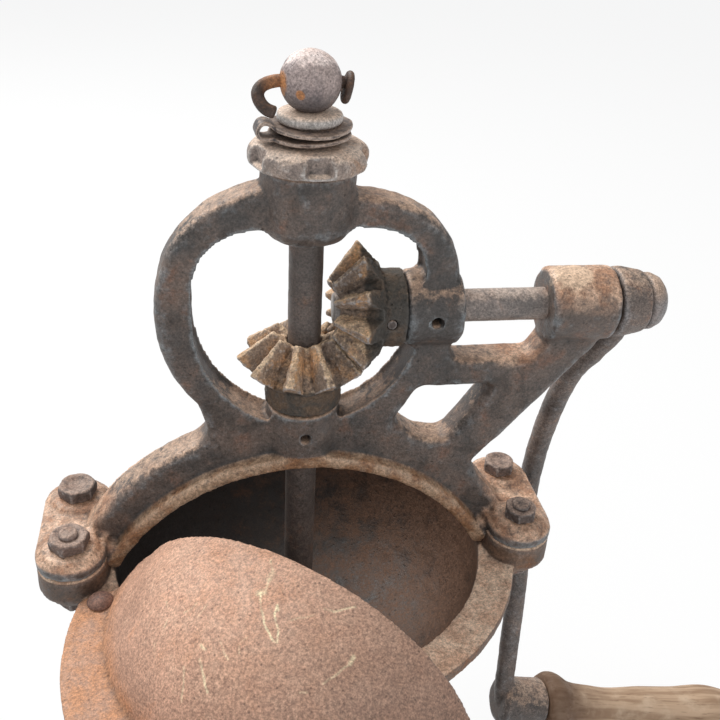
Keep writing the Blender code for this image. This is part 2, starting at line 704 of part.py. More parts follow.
NECK_Z = RIM_Z - NECK_DROP
HOUSING_TOP = NECK_Z - SEAT_GAP
BURR_SEAT = HOUSING_TOP - BURR_RING_HEIGHT - SEAT_GAP
BURR_POCKET = BURR_RING_RADIUS + SEAT_GAP
HOUSING_RADIUS = BURR_POCKET + HOUSING_WALL
SHELF_BORE = BURR_RING_LOW_BORE + 0.0010
foot_profile = [
    (NECK_FLANGE_RADIUS, HOUSING_TOP),
    (NECK_FLANGE_RADIUS, HOUSING_TOP - NECK_FLANGE_THICKNESS),
    (HOUSING_RADIUS, HOUSING_TOP - NECK_FLANGE_THICKNESS),
    (HOUSING_RADIUS, BURR_SEAT - 0.002),
    (HOUSING_RADIUS + 0.002, BURR_SEAT - 0.012),
    (FOOT_SKIRT_RADIUS - 0.006, FOOT_THICKNESS + 0.010),
    (FOOT_SKIRT_RADIUS, FOOT_THICKNESS + 0.0015),
    (FOOT_RADIUS - 0.0015, FOOT_THICKNESS),
    (FOOT_RADIUS, FOOT_THICKNESS - 0.0015),
    (FOOT_RADIUS, 0),
    (FOOT_SKIRT_RADIUS - FOOT_WALL, 0),
    (FOOT_SKIRT_RADIUS - FOOT_WALL - 0.006, FOOT_THICKNESS + 0.010),
    (HOUSING_RADIUS + 0.002 - FOOT_WALL, BURR_SEAT - 0.012),
    (SHELF_BORE, BURR_SEAT - 0.0035),
    (SHELF_BORE, BURR_SEAT),
    (BURR_POCKET, BURR_SEAT),
    (BURR_POCKET, HOUSING_TOP),
]
bridge_reach = FOOT_SKIRT_RADIUS - FOOT_WALL / 2
bridge = block((-bridge_reach, -BRIDGE_WIDTH / 2, 0), (bridge_reach, BRIDGE_WIDTH / 2, BRIDGE_THICKNESS))
steady_boss = tube(STEADY_BOSS_RADIUS, BRIDGE_THICKNESS / 2, STEADY_BOSS_HEIGHT, 24)
foot_holes = [tube(SHAFT_BORE, STEADY_FLOOR, STEADY_BOSS_HEIGHT + WALL_OVERLAP)]
for i in range(4):
    angle = math.radians(45 + 90 * i)
    hole = tube(FOOT_HOLE_RADIUS, -WALL_OVERLAP, FOOT_THICKNESS + WALL_OVERLAP, 16)
    foot_holes.append(moved(hole, FOOT_HOLE_CIRCLE * math.cos(angle), FOOT_HOLE_CIRCLE * math.sin(angle)))
for _, x, y in neck_bolts():
    hole = tube(NECK_HOLE, HOUSING_TOP - NECK_FLANGE_THICKNESS - WALL_OVERLAP, HOUSING_TOP + WALL_OVERLAP)
    foot_holes.append(moved(hole, x, y))
solid("foot", joined(turned(foot_profile), [bridge, steady_boss], foot_holes), CAST)

for number, x, y in neck_bolts():
    head_low = NECK_Z + NECK_FLANGE_THICKNESS + SEAT_GAP
    nut_high = HOUSING_TOP - NECK_FLANGE_THICKNESS - SEAT_GAP
    nut_low = nut_high - 0.0045
    head = hexagon(NECK_BOLT_FLATS, head_low, head_low + 0.0040)
    shank = tube(NECK_BOLT_RADIUS, nut_low - 0.0015, head_low + 0.0020, 16)
    nut = joined(hexagon(NECK_BOLT_FLATS, nut_low, nut_high),
                 cuts=[tube(NECK_HOLE, nut_low - WALL_OVERLAP, nut_high + WALL_OVERLAP, 16)])
    solid(f"neck_bolt_{number}", joined(head, [shank]), RUSTY, place=(x, y, 0))
    solid(f"neck_nut_{number}", nut, RUSTY, place=(x, y, 0))


# Burrs: a fixed ring with an inner cone on the spindle, toothed on the faces that meet

def toothed_ring(radius, height, depth, twist):
    """One level of a toothed face, with a saw tooth every few degrees."""
    ring = []
    for tooth in range(BURR_TEETH):
        for share, lift in ((0.0, 1.0), (0.25, 1.0), (0.40, 0.0), (0.75, 0.0)):
            angle = 2 * math.pi * (tooth + share) / BURR_TEETH + twist
            reach = radius - depth * (1 - lift)
            ring.append((reach * math.cos(angle), reach * math.sin(angle), height))
    return ring


def plain_ring(radius, height):
    return toothed_ring(radius, height, 0, 0)


BURR_TWIST = math.radians(24)
BURR_LOW = BURR_SEAT + SEAT_GAP
BURR_HIGH = BURR_LOW + BURR_RING_HEIGHT
solid("outer_burr", loft([
    plain_ring(BURR_RING_RADIUS, BURR_LOW),
    toothed_ring(BURR_RING_LOW_BORE + BURR_TOOTH_DEPTH, BURR_LOW, BURR_TOOTH_DEPTH, 0),
    toothed_ring((BURR_RING_LOW_BORE + BURR_RING_TOP_BORE) / 2 + BURR_TOOTH_DEPTH,
                 (BURR_LOW + BURR_HIGH) / 2, BURR_TOOTH_DEPTH, -BURR_TWIST / 2),
    toothed_ring(BURR_RING_TOP_BORE + BURR_TOOTH_DEPTH, BURR_HIGH, BURR_TOOTH_DEPTH, -BURR_TWIST),
    plain_ring(BURR_RING_RADIUS, BURR_HIGH),
]), STEEL)

CONE_LOW_RADIUS = BURR_RING_LOW_BORE - BURR_GAP
CONE_HIGH = BURR_HIGH + BURR_CONE_RISE
cone_middle = BURR_LOW + (CONE_HIGH - BURR_LOW) * 0.5
inner_burr = loft([
    plain_ring(SHAFT_BORE, BURR_LOW - 0.004),
    plain_ring(CONE_LOW_RADIUS - 0.004, BURR_LOW - 0.004),
    toothed_ring(CONE_LOW_RADIUS, BURR_LOW, BURR_TOOTH_DEPTH, 0),
    toothed_ring((CONE_LOW_RADIUS + BURR_CONE_TOP_RADIUS) / 2 + 0.001, cone_middle,
                 BURR_TOOTH_DEPTH, BURR_TWIST),
    toothed_ring(BURR_CONE_TOP_RADIUS, CONE_HIGH, BURR_TOOTH_DEPTH, 2 * BURR_TWIST),
    plain_ring(SHAFT_BORE, CONE_HIGH),
])
BURR_PIN_Z = BURR_LOW + 0.0030
cone_pin_reach = CONE_LOW_RADIUS - 0.0060
pin_hole = moved(along_x(tube(PIN_RADIUS + RUN_GAP, -0.030, 0.030, 12)), z=BURR_PIN_Z)
inner_burr = moved(joined(inner_burr, cuts=[pin_hole]), z=-RIM_Z)
solid("inner_burr", inner_burr, STEEL, SPINDLE_AXIS)
solid("burr_pin", moved(along_x(tube(PIN_RADIUS, -cone_pin_reach, cone_pin_reach, 12)),
                        z=BURR_PIN_Z - RIM_Z), RUSTY, SPINDLE_AXIS)


# Bevel gears: straight cast teeth on 45 degree cones that meet where the two axes cross

PITCH_RADIUS = GEAR_MODULE * GEAR_TEETH / 2
CONE = math.radians(45)


def involute_angle(pressure):
    return math.tan(pressure) - pressure


def tooth_section():
    """Half-angle and radius of a tooth's flank, from root to tip, on the flattened back cone."""
    back_radius = PITCH_RADIUS / math.cos(CONE)
    base = back_radius * math.cos(PRESSURE_ANGLE)
    half = (math.pi * GEAR_MODULE / 2 - GEAR_BACKLASH) / 2 / back_radius
    flank = [(half * 1.42, back_radius - 1.25 * GEAR_MODULE)]
    for share in (0.0, 0.5, 1.0):
        radius = base + (back_radius + GEAR_MODULE * 0.92 - base) * share
        pressure = math.acos(min(base / radius, 1.0))
        turn = half + involute_angle(PRESSURE_ANGLE) - involute_angle(pressure)
        flank.append((turn, radius))
    return flank, back_radius


def gear_ring(scale):
    """The toothed outline at a share of the cone's length, with the apex at the origin."""
    flank, back_radius = tooth_section()
    ring = []
    for tooth in range(GEAR_TEETH):
        centre = 2 * math.pi * tooth / GEAR_TEETH
        for side, points in ((-1, flank), (1, list(reversed(flank)))):
            for turn, radius in points:
                offset = radius - back_radius
                across = (PITCH_RADIUS + offset * math.cos(CONE)) * scale
                height = (-PITCH_RADIUS + offset * math.sin(CONE)) * scale
                angle = centre + side * turn / math.cos(CONE)
                ring.append((across * math.cos(angle), across * math.sin(angle), height))
    return ring


def round_ring(radius, height, like):
    """A circle whose points follow the angles of another ring."""
    ring = []
    for x, y, _ in like:
        angle = math.atan2(y, x)
        ring.append((radius * math.cos(angle), radius * math.sin(angle), height))
    return ring


def bevel_gear(seat):
    """A gear whose hub stands on a seat this far below the apex."""
    large = gear_ring(1.0)
    small = gear_ring(GEAR_INNER_SHARE)
    root_height = -(PITCH_RADIUS + 1.25 * GEAR_MODULE * math.sin(CONE))
    inner_height = root_height * GEAR_INNER_SHARE
    return loft([
        large, small,
        round_ring(SHAFT_BORE, inner_height, large),
        round_ring(SHAFT_BORE, -seat, large),
        round_ring(GEAR_HUB_RADIUS, -seat, large),
        round_ring(GEAR_HUB_RADIUS, root_height - 0.0015, large),
    ])


GEAR_SEAT = AXIS_UP - LOW_BOSS_HIGH_UP - LIFT_TRAVEL - SEAT_GAP
PINION_SEAT = INNER_BOSS_X[0] - SEAT_GAP
gear_pin_up = AXIS_UP - GEAR_SEAT + PIN_DISTANCE / 2
gear_drill = moved(along_x(tube(PIN_RADIUS + RUN_GAP, -0.020, 0.020, 12)), z=gear_pin_up - AXIS_UP)
lower_gear = joined(bevel_gear(GEAR_SEAT), cuts=[gear_drill])
solid("spindle_gear", moved(lower_gear, z=AXIS_UP), RUSTY, SPINDLE_AXIS)
pin_reach = GEAR_HUB_RADIUS - 0.0004
solid("spindle_gear_pin", moved(along_x(tube(PIN_RADIUS, -pin_reach, pin_reach, 12)), z=gear_pin_up),
      RUSTY, SPINDLE_AXIS)

pinion_pin_x = PINION_SEAT - PIN_DISTANCE / 2
pinion = bevel_gear(PINION_SEAT)
pinion.transform(Matrix.Rotation(math.pi / GEAR_TEETH, 4, "Z"))
along_x(pinion)
pinion.transform(Matrix.Rotation(math.pi, 4, "Z"))
pinion_drill = moved(along_y(tube(PIN_RADIUS + RUN_GAP, -0.020, 0.020, 12)), x=pinion_pin_x)
solid("crank_gear", joined(pinion, cuts=[pinion_drill]), RUSTY, CRANK_AXIS)
solid("crank_gear_pin", moved(along_y(tube(PIN_RADIUS, -pin_reach, pin_reach, 12)), x=pinion_pin_x),
      RUSTY, CRANK_AXIS)


# Spindle, hung from the ball on top, with the lower end in the foot's bridge

WHEEL_LOW_UP = TOP_BOSS_HIGH_UP + SEAT_GAP
WHEEL_HIGH_UP = WHEEL_LOW_UP + WHEEL_THICKNESS
CLIP_LOW_UP = WHEEL_HIGH_UP + LIFT_TRAVEL + SEAT_GAP
CLIP_HIGH_UP = CLIP_LOW_UP + 2 * CLIP_SHEET + CLIP_OPENING
COLLAR_LOW_UP = CLIP_HIGH_UP + SEAT_GAP
COLLAR_HIGH_UP = COLLAR_LOW_UP + COLLAR_THICKNESS
BALL_FLAT_UP = COLLAR_HIGH_UP + SEAT_GAP
BALL_UP = BALL_FLAT_UP + BALL_NECK
TIP_UP = BALL_UP + 0.0035

spindle = turned([(0, TIP_UP), (SPINDLE_TIP_RADIUS, TIP_UP), (SPINDLE_TIP_RADIUS, BALL_FLAT_UP - 0.001),
                  (SHAFT_RADIUS, BALL_FLAT_UP - 0.002), (SHAFT_RADIUS, SPINDLE_FOOT_Z - RIM_Z + 0.001),
                  (SHAFT_RADIUS - 0.001, SPINDLE_FOOT_Z - RIM_Z), (0, SPINDLE_FOOT_Z - RIM_Z)], FINE)
spindle_holes = [
    moved(along_x(tube(PIN_RADIUS + RUN_GAP, -0.010, 0.010, 12)), z=gear_pin_up),
    moved(along_x(tube(PIN_RADIUS + RUN_GAP, -0.010, 0.010, 12)), z=BURR_PIN_Z - RIM_Z),
    moved(along_x(tube(WIRE_RADIUS + RUN_GAP, -0.010, 0.010, 12)), z=BALL_UP),
]
solid("spindle", joined(spindle, cuts=spindle_holes), STEEL, SPINDLE_AXIS)

ball_profile = [(0, BALL_RADIUS)]
for step in range(1, 11):
    rise = BALL_RADIUS - (BALL_RADIUS + BALL_NECK) * step / 10
    ball_profile.append((math.sqrt(BALL_RADIUS ** 2 - rise ** 2), rise))
ball_profile.append((0, -BALL_NECK))
ball_socket = tube(SPINDLE_TIP_RADIUS + RUN_GAP, -BALL_RADIUS, TIP_UP + RUN_GAP - BALL_UP)
ball_drill = along_x(tube(WIRE_RADIUS + RUN_GAP, -0.020, 0.020, 12))
ball = joined(turned(ball_profile, 20), cuts=[ball_socket, ball_drill])
solid("ball_knob", moved(ball, z=BALL_UP), STEEL, SPINDLE_AXIS)

# The locking wire runs through the ball, with a flattened head on the right
# and its left end bent round and down beside the collar
wire_way = smooth_line([
    (BALL_RADIUS + 0.0010, 0, 0), (0, 0, 0), (-BALL_RADIUS, 0, 0),
    (-0.0130, -0.0006, -0.0010), (-0.0147, -0.0020, -0.0028), (-0.0143, -0.0040, -0.0048),
    (-0.0128, -0.0062, -0.0062), (-0.0106, -0.0084, -0.0070),
], 3)
wire_head = tube(0.0046, -0.0010, 0.0010, 16)
wire_head.transform(Matrix.Translation((BALL_RADIUS + 0.0016, 0, -0.0016))
                    @ Matrix.Rotation(math.radians(102), 4, "Y"))
hook_wire = joined(bar(wire_way, WIRE_RADIUS), [wire_head])
solid("hook_wire", moved(hook_wire, z=BALL_UP), RUSTY, SPINDLE_AXIS)


# Adjuster: a notched wheel nut on a threaded sleeve, with a folded spring clip under the collar

wheel_outline = []
for lobe in range(WHEEL_LOBES):
    for share, radius in ((0.06, WHEEL_NOTCH_RADIUS), (0.28, WHEEL_NOTCH_RADIUS), (0.36, WHEEL_RADIUS * 0.97),
                          (0.50, WHEEL_RADIUS), (0.84, WHEEL_RADIUS), (0.98, WHEEL_RADIUS * 0.97)):
        angle = 2 * math.pi * (lobe + share) / WHEEL_LOBES - math.radians(97.65)
        wheel_outline.append((radius * math.cos(angle), radius * math.sin(angle)))
wheel = moved(plate([wheel_outline], WHEEL_THICKNESS, 0.0010, 0), z=WHEEL_THICKNESS / 2)
wheel_bore = tube(SLEEVE_BORE, -WALL_OVERLAP, WHEEL_THICKNESS + WALL_OVERLAP, 24)
solid("adjuster_wheel", moved(joined(wheel, cuts=[wheel_bore]), z=WHEEL_LOW_UP), RUSTY, SPINDLE_AXIS)

sleeve_low = COLLAR_LOW_UP - SLEEVE_LENGTH
sleeve = turned([(COLLAR_RADIUS - 0.0008, COLLAR_HIGH_UP), (COLLAR_RADIUS, COLLAR_HIGH_UP - 0.0008),
                 (COLLAR_RADIUS, COLLAR_LOW_UP), (SLEEVE_RADIUS, COLLAR_LOW_UP), (SLEEVE_RADIUS, sleeve_low),
                 (SHAFT_BORE, sleeve_low), (SHAFT_BORE, COLLAR_HIGH_UP)], 24)
slot_half = GUIDE_SCREW_RADIUS + RUN_GAP
sleeve_slot = block((-slot_half, SHAFT_RADIUS - 0.001, sleeve_low - WALL_OVERLAP),
                    (slot_half, SLEEVE_RADIUS + WALL_OVERLAP, GUIDE_SCREW_UP + slot_half + LIFT_TRAVEL))
solid("thrust_sleeve", joined(sleeve, cuts=[sleeve_slot]), STEEL, SPINDLE_AXIS)

clip_thickness = CLIP_HIGH_UP - CLIP_LOW_UP
fold_x = -CLIP_RADIUS - 0.0035
fold_profile = rounded([
    (fold_x, 0, clip_thickness / 2 - 0.0001), (CLIP_RADIUS + 0.001, 0, 0),
    (CLIP_RADIUS + 0.001, CLIP_SHEET, 0), (fold_x + CLIP_SHEET, CLIP_SHEET, CLIP_OPENING / 2 - 0.0001),
    (fold_x + CLIP_SHEET, clip_thickness - CLIP_SHEET, CLIP_OPENING / 2 - 0.0001),
    (CLIP_RADIUS + 0.001, clip_thickness - CLIP_SHEET, 0), (CLIP_RADIUS + 0.001, clip_thickness, 0),
    (fold_x, clip_thickness, clip_thickness / 2 - 0.0001),
], 4)
clip_strip = upright(plate([fold_profile], 2 * CLIP_RADIUS + 0.002))
clip_outline = [(fold_x - 0.001, -0.0072), (fold_x - 0.001, 0.0072)]
clip_outline += [(CLIP_RADIUS * math.cos(math.radians(a)), CLIP_RADIUS * math.sin(math.radians(a)))
                 for a in range(112, -113, -32)]
clip_keep = moved(plate([clip_outline], clip_thickness + 0.002), z=clip_thickness / 2)
clip_strip = helper("strip", clip_strip)
clip_keep = helper("keep", clip_keep)
clip_bore = helper("bore", tube(SLEEVE_RADIUS + RUN_GAP, -0.001, clip_thickness + 0.001, 24))
for tool, operation in ((clip_keep, "INTERSECT"), (clip_bore, "DIFFERENCE")):
    step = clip_strip.modifiers.new("shape", "BOOLEAN")
    step.operation = operation
    step.solver = "EXACT"
    step.object = tool
spring_clip = sealed(evaluated_mesh(clip_strip), 2e-6)
for made in (clip_strip, clip_keep, clip_bore):
    discard(made)
solid("spring_clip", moved(spring_clip, z=CLIP_LOW_UP), STEEL, SPINDLE_AXIS)

screw_tip = SHAFT_BORE + 0.0006
guide_screw = turned([(0, TOP_BOSS_RADIUS + 0.0030), (0.0032, TOP_BOSS_RADIUS + 0.0030),
                      (0.0036, TOP_BOSS_RADIUS + 0.0022), (0.0036, TOP_BOSS_RADIUS + SEAT_GAP),
                      (GUIDE_SCREW_RADIUS, TOP_BOSS_RADIUS + SEAT_GAP), (GUIDE_SCREW_RADIUS, screw_tip),
                      (0, screw_tip)], 14)
solid("guide_screw", moved(along_y(guide_screw), z=GUIDE_SCREW_UP), RUSTY, place=(0, 0, RIM_Z))


# Crank: shaft, bent arm, end nut, and a turned grip on a rod

CRANK_EYE_X = OUTER_BOSS_X[1] + SEAT_GAP
EYE_END_X = CRANK_EYE_X + CRANK_EYE_LENGTH
NUT_X = EYE_END_X + SEAT_GAP
SHAFT_END_X = NUT_X + END_NUT_LENGTH - 0.0020
SHAFT_START_X = PITCH_RADIUS * GEAR_INNER_SHARE
crank_shaft = turned([(0, SHAFT_END_X), (SHAFT_RADIUS - 0.0006, SHAFT_END_X),
                      (SHAFT_RADIUS - 0.0006, EYE_END_X - 0.001), (SHAFT_RADIUS, EYE_END_X - 0.002),
                      (SHAFT_RADIUS, SHAFT_START_X), (0, SHAFT_START_X)], FINE)
shaft_drill = moved(along_y(tube(PIN_RADIUS + RUN_GAP, -0.010, 0.010, 12)), x=pinion_pin_x)
solid("crank_shaft", joined(along_x(crank_shaft), cuts=[shaft_drill]), STEEL, CRANK_AXIS)

HANDLE_BOSS = Vector((CRANK_EYE_X - CRANK_LEAN, HANDLE_BACK, -CRANK_THROW))
arm_shape = [(0.81, 0.0, 0.0194), (0.66, 0.0889, 0.0630), (0.103, 0.2667, 0.1114), (-0.485, 0.5111, 0.1743),
             (-0.779, 0.8222, 0.3002), (-0.853, 1.0, 0.4358), (-0.853, 0.9333, 0.5424),
             (-0.853, 0.7111, 0.6780), (-0.926, 0.4889, 0.8232)]
arm_line = smooth_line([(CRANK_EYE_X + CRANK_LEAN * out, CRANK_BEND * back, -CRANK_THROW * down)
                        for out, back, down in arm_shape] + [HANDLE_BOSS], 3)
eye = along_x(turned([(0, EYE_END_X), (CRANK_EYE_RADIUS - 0.0018, EYE_END_X),
                      (CRANK_EYE_RADIUS, EYE_END_X - 0.0080), (CRANK_EYE_RADIUS, CRANK_EYE_X + 0.0008),
                      (CRANK_EYE_RADIUS - 0.0008, CRANK_EYE_X), (0, CRANK_EYE_X)], 28))
grip_turn = Matrix.Rotation(math.radians(90) + GRIP_TILT, 4, "Y")
boss_back = -HANDLE_BOSS_BACK
boss_front = boss_back + CRANK_BOSS_LENGTH
handle_boss = turned([(0, boss_front), (HANDLE_BOSS_RADIUS - 0.001, boss_front),
                      (HANDLE_BOSS_RADIUS, boss_front - 0.001), (HANDLE_BOSS_RADIUS, boss_back + 0.002),
                      (HANDLE_BOSS_RADIUS - 0.002, boss_back), (0, boss_back)], 28)
handle_boss.transform(Matrix.Translation(HANDLE_BOSS) @ grip_turn)
rod_hole = tube(GRIP_ROD_RADIUS + RUN_GAP, boss_back + 0.005, boss_front + 0.010, 16)
rod_hole.transform(Matrix.Translation(HANDLE_BOSS) @ grip_turn)
eye_bore = along_x(tube(SHAFT_BORE, CRANK_EYE_X - 0.005, EYE_END_X + 0.005))
crank_arm = joined(bar(arm_line, CRANK_BAR_RADIUS, 2), [eye, handle_boss], [eye_bore, rod_hole])
solid("crank_arm", crank_arm, CAST, CRANK_AXIS)

nut_bore = along_x(tube(SHAFT_RADIUS - 0.0003, NUT_X - 0.001, SHAFT_END_X + RUN_GAP))
end_nut = along_x(turned([(0, NUT_X + END_NUT_LENGTH), (END_NUT_RADIUS - 0.0035, NUT_X + END_NUT_LENGTH),
                          (END_NUT_RADIUS - 0.0010, NUT_X + END_NUT_LENGTH - 0.002),
                          (END_NUT_RADIUS, NUT_X), (0, NUT_X)], 24))
solid("crank_end_nut", joined(end_nut, cuts=[nut_bore]), RUSTY, CRANK_AXIS)

grip_start = boss_front + SEAT_GAP
grip_end = grip_start + GRIP_LENGTH
ROD_END = grip_end + SEAT_GAP + GRIP_WASHER_THICKNESS + 0.0016
rod = turned([(0, ROD_END), (GRIP_ROD_RADIUS - 0.0008, ROD_END), (GRIP_ROD_RADIUS, ROD_END - 0.0010),
              (GRIP_ROD_RADIUS, boss_back + 0.0053), (0, boss_back + 0.0053)], 16)
solid("grip_rod", rod, STEEL, CRANK_AXIS, tuple(HANDLE_BOSS), grip_turn.to_euler())

GRIP_BORE = GRIP_ROD_RADIUS + RUN_GAP
grip_shape = [(0.000, GRIP_COLLAR_RADIUS - 0.0015), (0.003, GRIP_COLLAR_RADIUS),
              (0.007, GRIP_COLLAR_RADIUS - 0.0006), (0.014, GRIP_COLLAR_RADIUS - 0.0040),
              (0.025, GRIP_NECK_RADIUS + 0.0006), (0.036, GRIP_NECK_RADIUS),
              (0.052, GRIP_NECK_RADIUS + 0.0014), (0.070, GRIP_BELLY_RADIUS - 0.0016),
              (0.086, GRIP_BELLY_RADIUS), (0.098, GRIP_BELLY_RADIUS - 0.0014),
              (0.105, GRIP_BELLY_RADIUS - 0.0050), (0.108, GRIP_BELLY_RADIUS - 0.0076)]
grip_scale = GRIP_LENGTH / grip_shape[-1][0]
grip_profile = [(radius, grip_start + along * grip_scale) for along, radius in reversed(grip_shape)]
grip_profile += [(GRIP_BORE, grip_start), (GRIP_BORE, grip_end)]
solid("grip", turned(grip_profile, 24), WOOD, CRANK_AXIS, tuple(HANDLE_BOSS), grip_turn.to_euler())
washer = tube(GRIP_WASHER_RADIUS, grip_end + SEAT_GAP, grip_end + SEAT_GAP + GRIP_WASHER_THICKNESS,
              20, GRIP_BORE)
solid("grip_washer", washer, RUSTY, CRANK_AXIS, tuple(HANDLE_BOSS), grip_turn.to_euler())


# Lid: half a dome with a flat flange, turning on a rivet in the hopper's rim

lid_low = SEAT_GAP
lid_top = lid_low + LID_SHEET
DOME_STEPS = 8
lid_profile = []
for step in range(DOME_STEPS + 1):
    angle = math.pi / 2 * step / DOME_STEPS
    lid_profile.append((LID_BEND_RADIUS * math.sin(angle), lid_top + LID_HEIGHT * math.cos(angle)))
lid_profile += [(LID_FLANGE_RADIUS, lid_top), (LID_FLANGE_RADIUS, lid_low)]
for step in range(DOME_STEPS, -1, -1):
    angle = math.pi / 2 * step / DOME_STEPS
    lid_profile.append(((LID_BEND_RADIUS - LID_SHEET) * math.sin(angle),
                        lid_low + LID_HEIGHT * math.cos(angle)))
lid_cuts = [block((-0.2, -LID_BACK, -0.01), (0.2, 0.2, 0.2)),
            moved(tube(RIVET_HOLE, -0.01, 0.02), *LID_PIVOT)]
for side in (-1, 1):
    lid_cuts.append(plate([ear_outline(side, LID_EAR_GAP)], 0.030))
for share in (1 / 3, 2 / 3, 1):
    passing_ear = moved(plate([ear_outline(-1, LID_EAR_GAP)], 0.030), -LID_PIVOT[0], -LID_PIVOT[1])
    passing_ear.transform(Matrix.Rotation(LID_STOP * share, 4, "Z"))
    lid_cuts.append(moved(passing_ear, *LID_PIVOT))
lid = joined(turned(lid_profile, 40), cuts=lid_cuts)
moved(lid, -LID_PIVOT[0], -LID_PIVOT[1])
solid("lid", lid, LID_IRON, place=(*LID_PIVOT, RIM_Z), turn=(0, 0, -LID_OPEN))

rivet_seat = lid_low + LID_SHEET + SEAT_GAP
rivet = turned([(0, rivet_seat + RIVET_HEAD_HEIGHT), (RIVET_HEAD_RADIUS * 0.6, rivet_seat + RIVET_HEAD_HEIGHT * 0.8),
                (RIVET_HEAD_RADIUS * 0.92, rivet_seat + RIVET_HEAD_HEIGHT * 0.4),
                (RIVET_HEAD_RADIUS, rivet_seat), (RIVET_RADIUS, rivet_seat),
                (RIVET_RADIUS, -RIM_THICKNESS - SEAT_GAP), (0.0031, -RIM_THICKNESS - SEAT_GAP),
                (0.0028, -RIM_THICKNESS - 0.0018), (0, -RIM_THICKNESS - 0.0022)], 16)
solid("lid_rivet", rivet, RUSTY, place=(*LID_PIVOT, RIM_Z))
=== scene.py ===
"""Looks of an old hand mill: a cast iron hopper under a bolted yoke, bevel gears and a cranked arm.

Metres, +Z up, +X towards the crank, -Y the front, where the lid is.
"""
import json
import math

import bmesh
import bpy
from mathutils import Matrix, Vector

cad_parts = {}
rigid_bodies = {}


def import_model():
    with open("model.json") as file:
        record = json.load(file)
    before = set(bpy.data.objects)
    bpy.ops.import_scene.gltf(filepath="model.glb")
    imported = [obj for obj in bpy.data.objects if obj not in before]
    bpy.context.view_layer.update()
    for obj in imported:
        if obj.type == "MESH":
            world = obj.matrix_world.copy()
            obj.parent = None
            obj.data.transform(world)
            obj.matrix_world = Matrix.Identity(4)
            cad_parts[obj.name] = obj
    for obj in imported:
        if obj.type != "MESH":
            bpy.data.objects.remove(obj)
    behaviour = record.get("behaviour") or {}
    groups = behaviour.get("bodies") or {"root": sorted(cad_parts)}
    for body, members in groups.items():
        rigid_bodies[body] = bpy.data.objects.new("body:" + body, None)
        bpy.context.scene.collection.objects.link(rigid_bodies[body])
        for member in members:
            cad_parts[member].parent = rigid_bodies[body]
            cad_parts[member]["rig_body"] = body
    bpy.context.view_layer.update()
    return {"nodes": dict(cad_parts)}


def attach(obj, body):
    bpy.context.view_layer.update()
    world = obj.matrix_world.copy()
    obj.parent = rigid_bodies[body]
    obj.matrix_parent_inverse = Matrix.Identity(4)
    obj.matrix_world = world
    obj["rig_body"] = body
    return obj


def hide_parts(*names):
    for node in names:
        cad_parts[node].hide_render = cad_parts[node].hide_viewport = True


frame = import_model()


# Hopper. One grey iron casting: an open bowl with a flat rim, two ears that stand above the rim,
# and a flanged neck. It was poured in sand and never machined outside, so it is grainy,
# brown with old rust, tan where dust lies on it and where light from above is painted, and painted dark
# inside the bowl as shade.

RIM_Z = 0.150
MOUTH_RADIUS = 0.066
RIM_RADIUS = 0.079
RIM_THICKNESS = 0.005
BOWL_DEPTH = 0.050
BOWL_WALL = 0.0045
BOWL_ROUNDNESS = 2.2
THROAT_RADIUS = 0.018
THROAT_WALL = 0.006
NECK_DROP = 0.068
NECK_FLANGE_RADIUS = 0.0445
NECK_FLANGE_THICKNESS = 0.006
EAR_X = 0.0785
EAR_BOLT_SPREAD = 0.0136
EAR_RADIUS = 0.0115
EAR_LOW = -0.002
EAR_SEAM = 0.008
EAR_PAD_RADIUS = 0.0092
LARGE_ROUND = 144
SMALL_ROUND = 48


def tone(red, green, blue):
    """A colour written as it looks, from 0 to 255, turned to linear light."""
    linear = []
    for part in (red, green, blue):
        share = part / 255
        linear.append(share / 12.92 if share < 0.04 else ((share + 0.055) / 1.055) ** 2.4)
    return (*linear, 1.0)


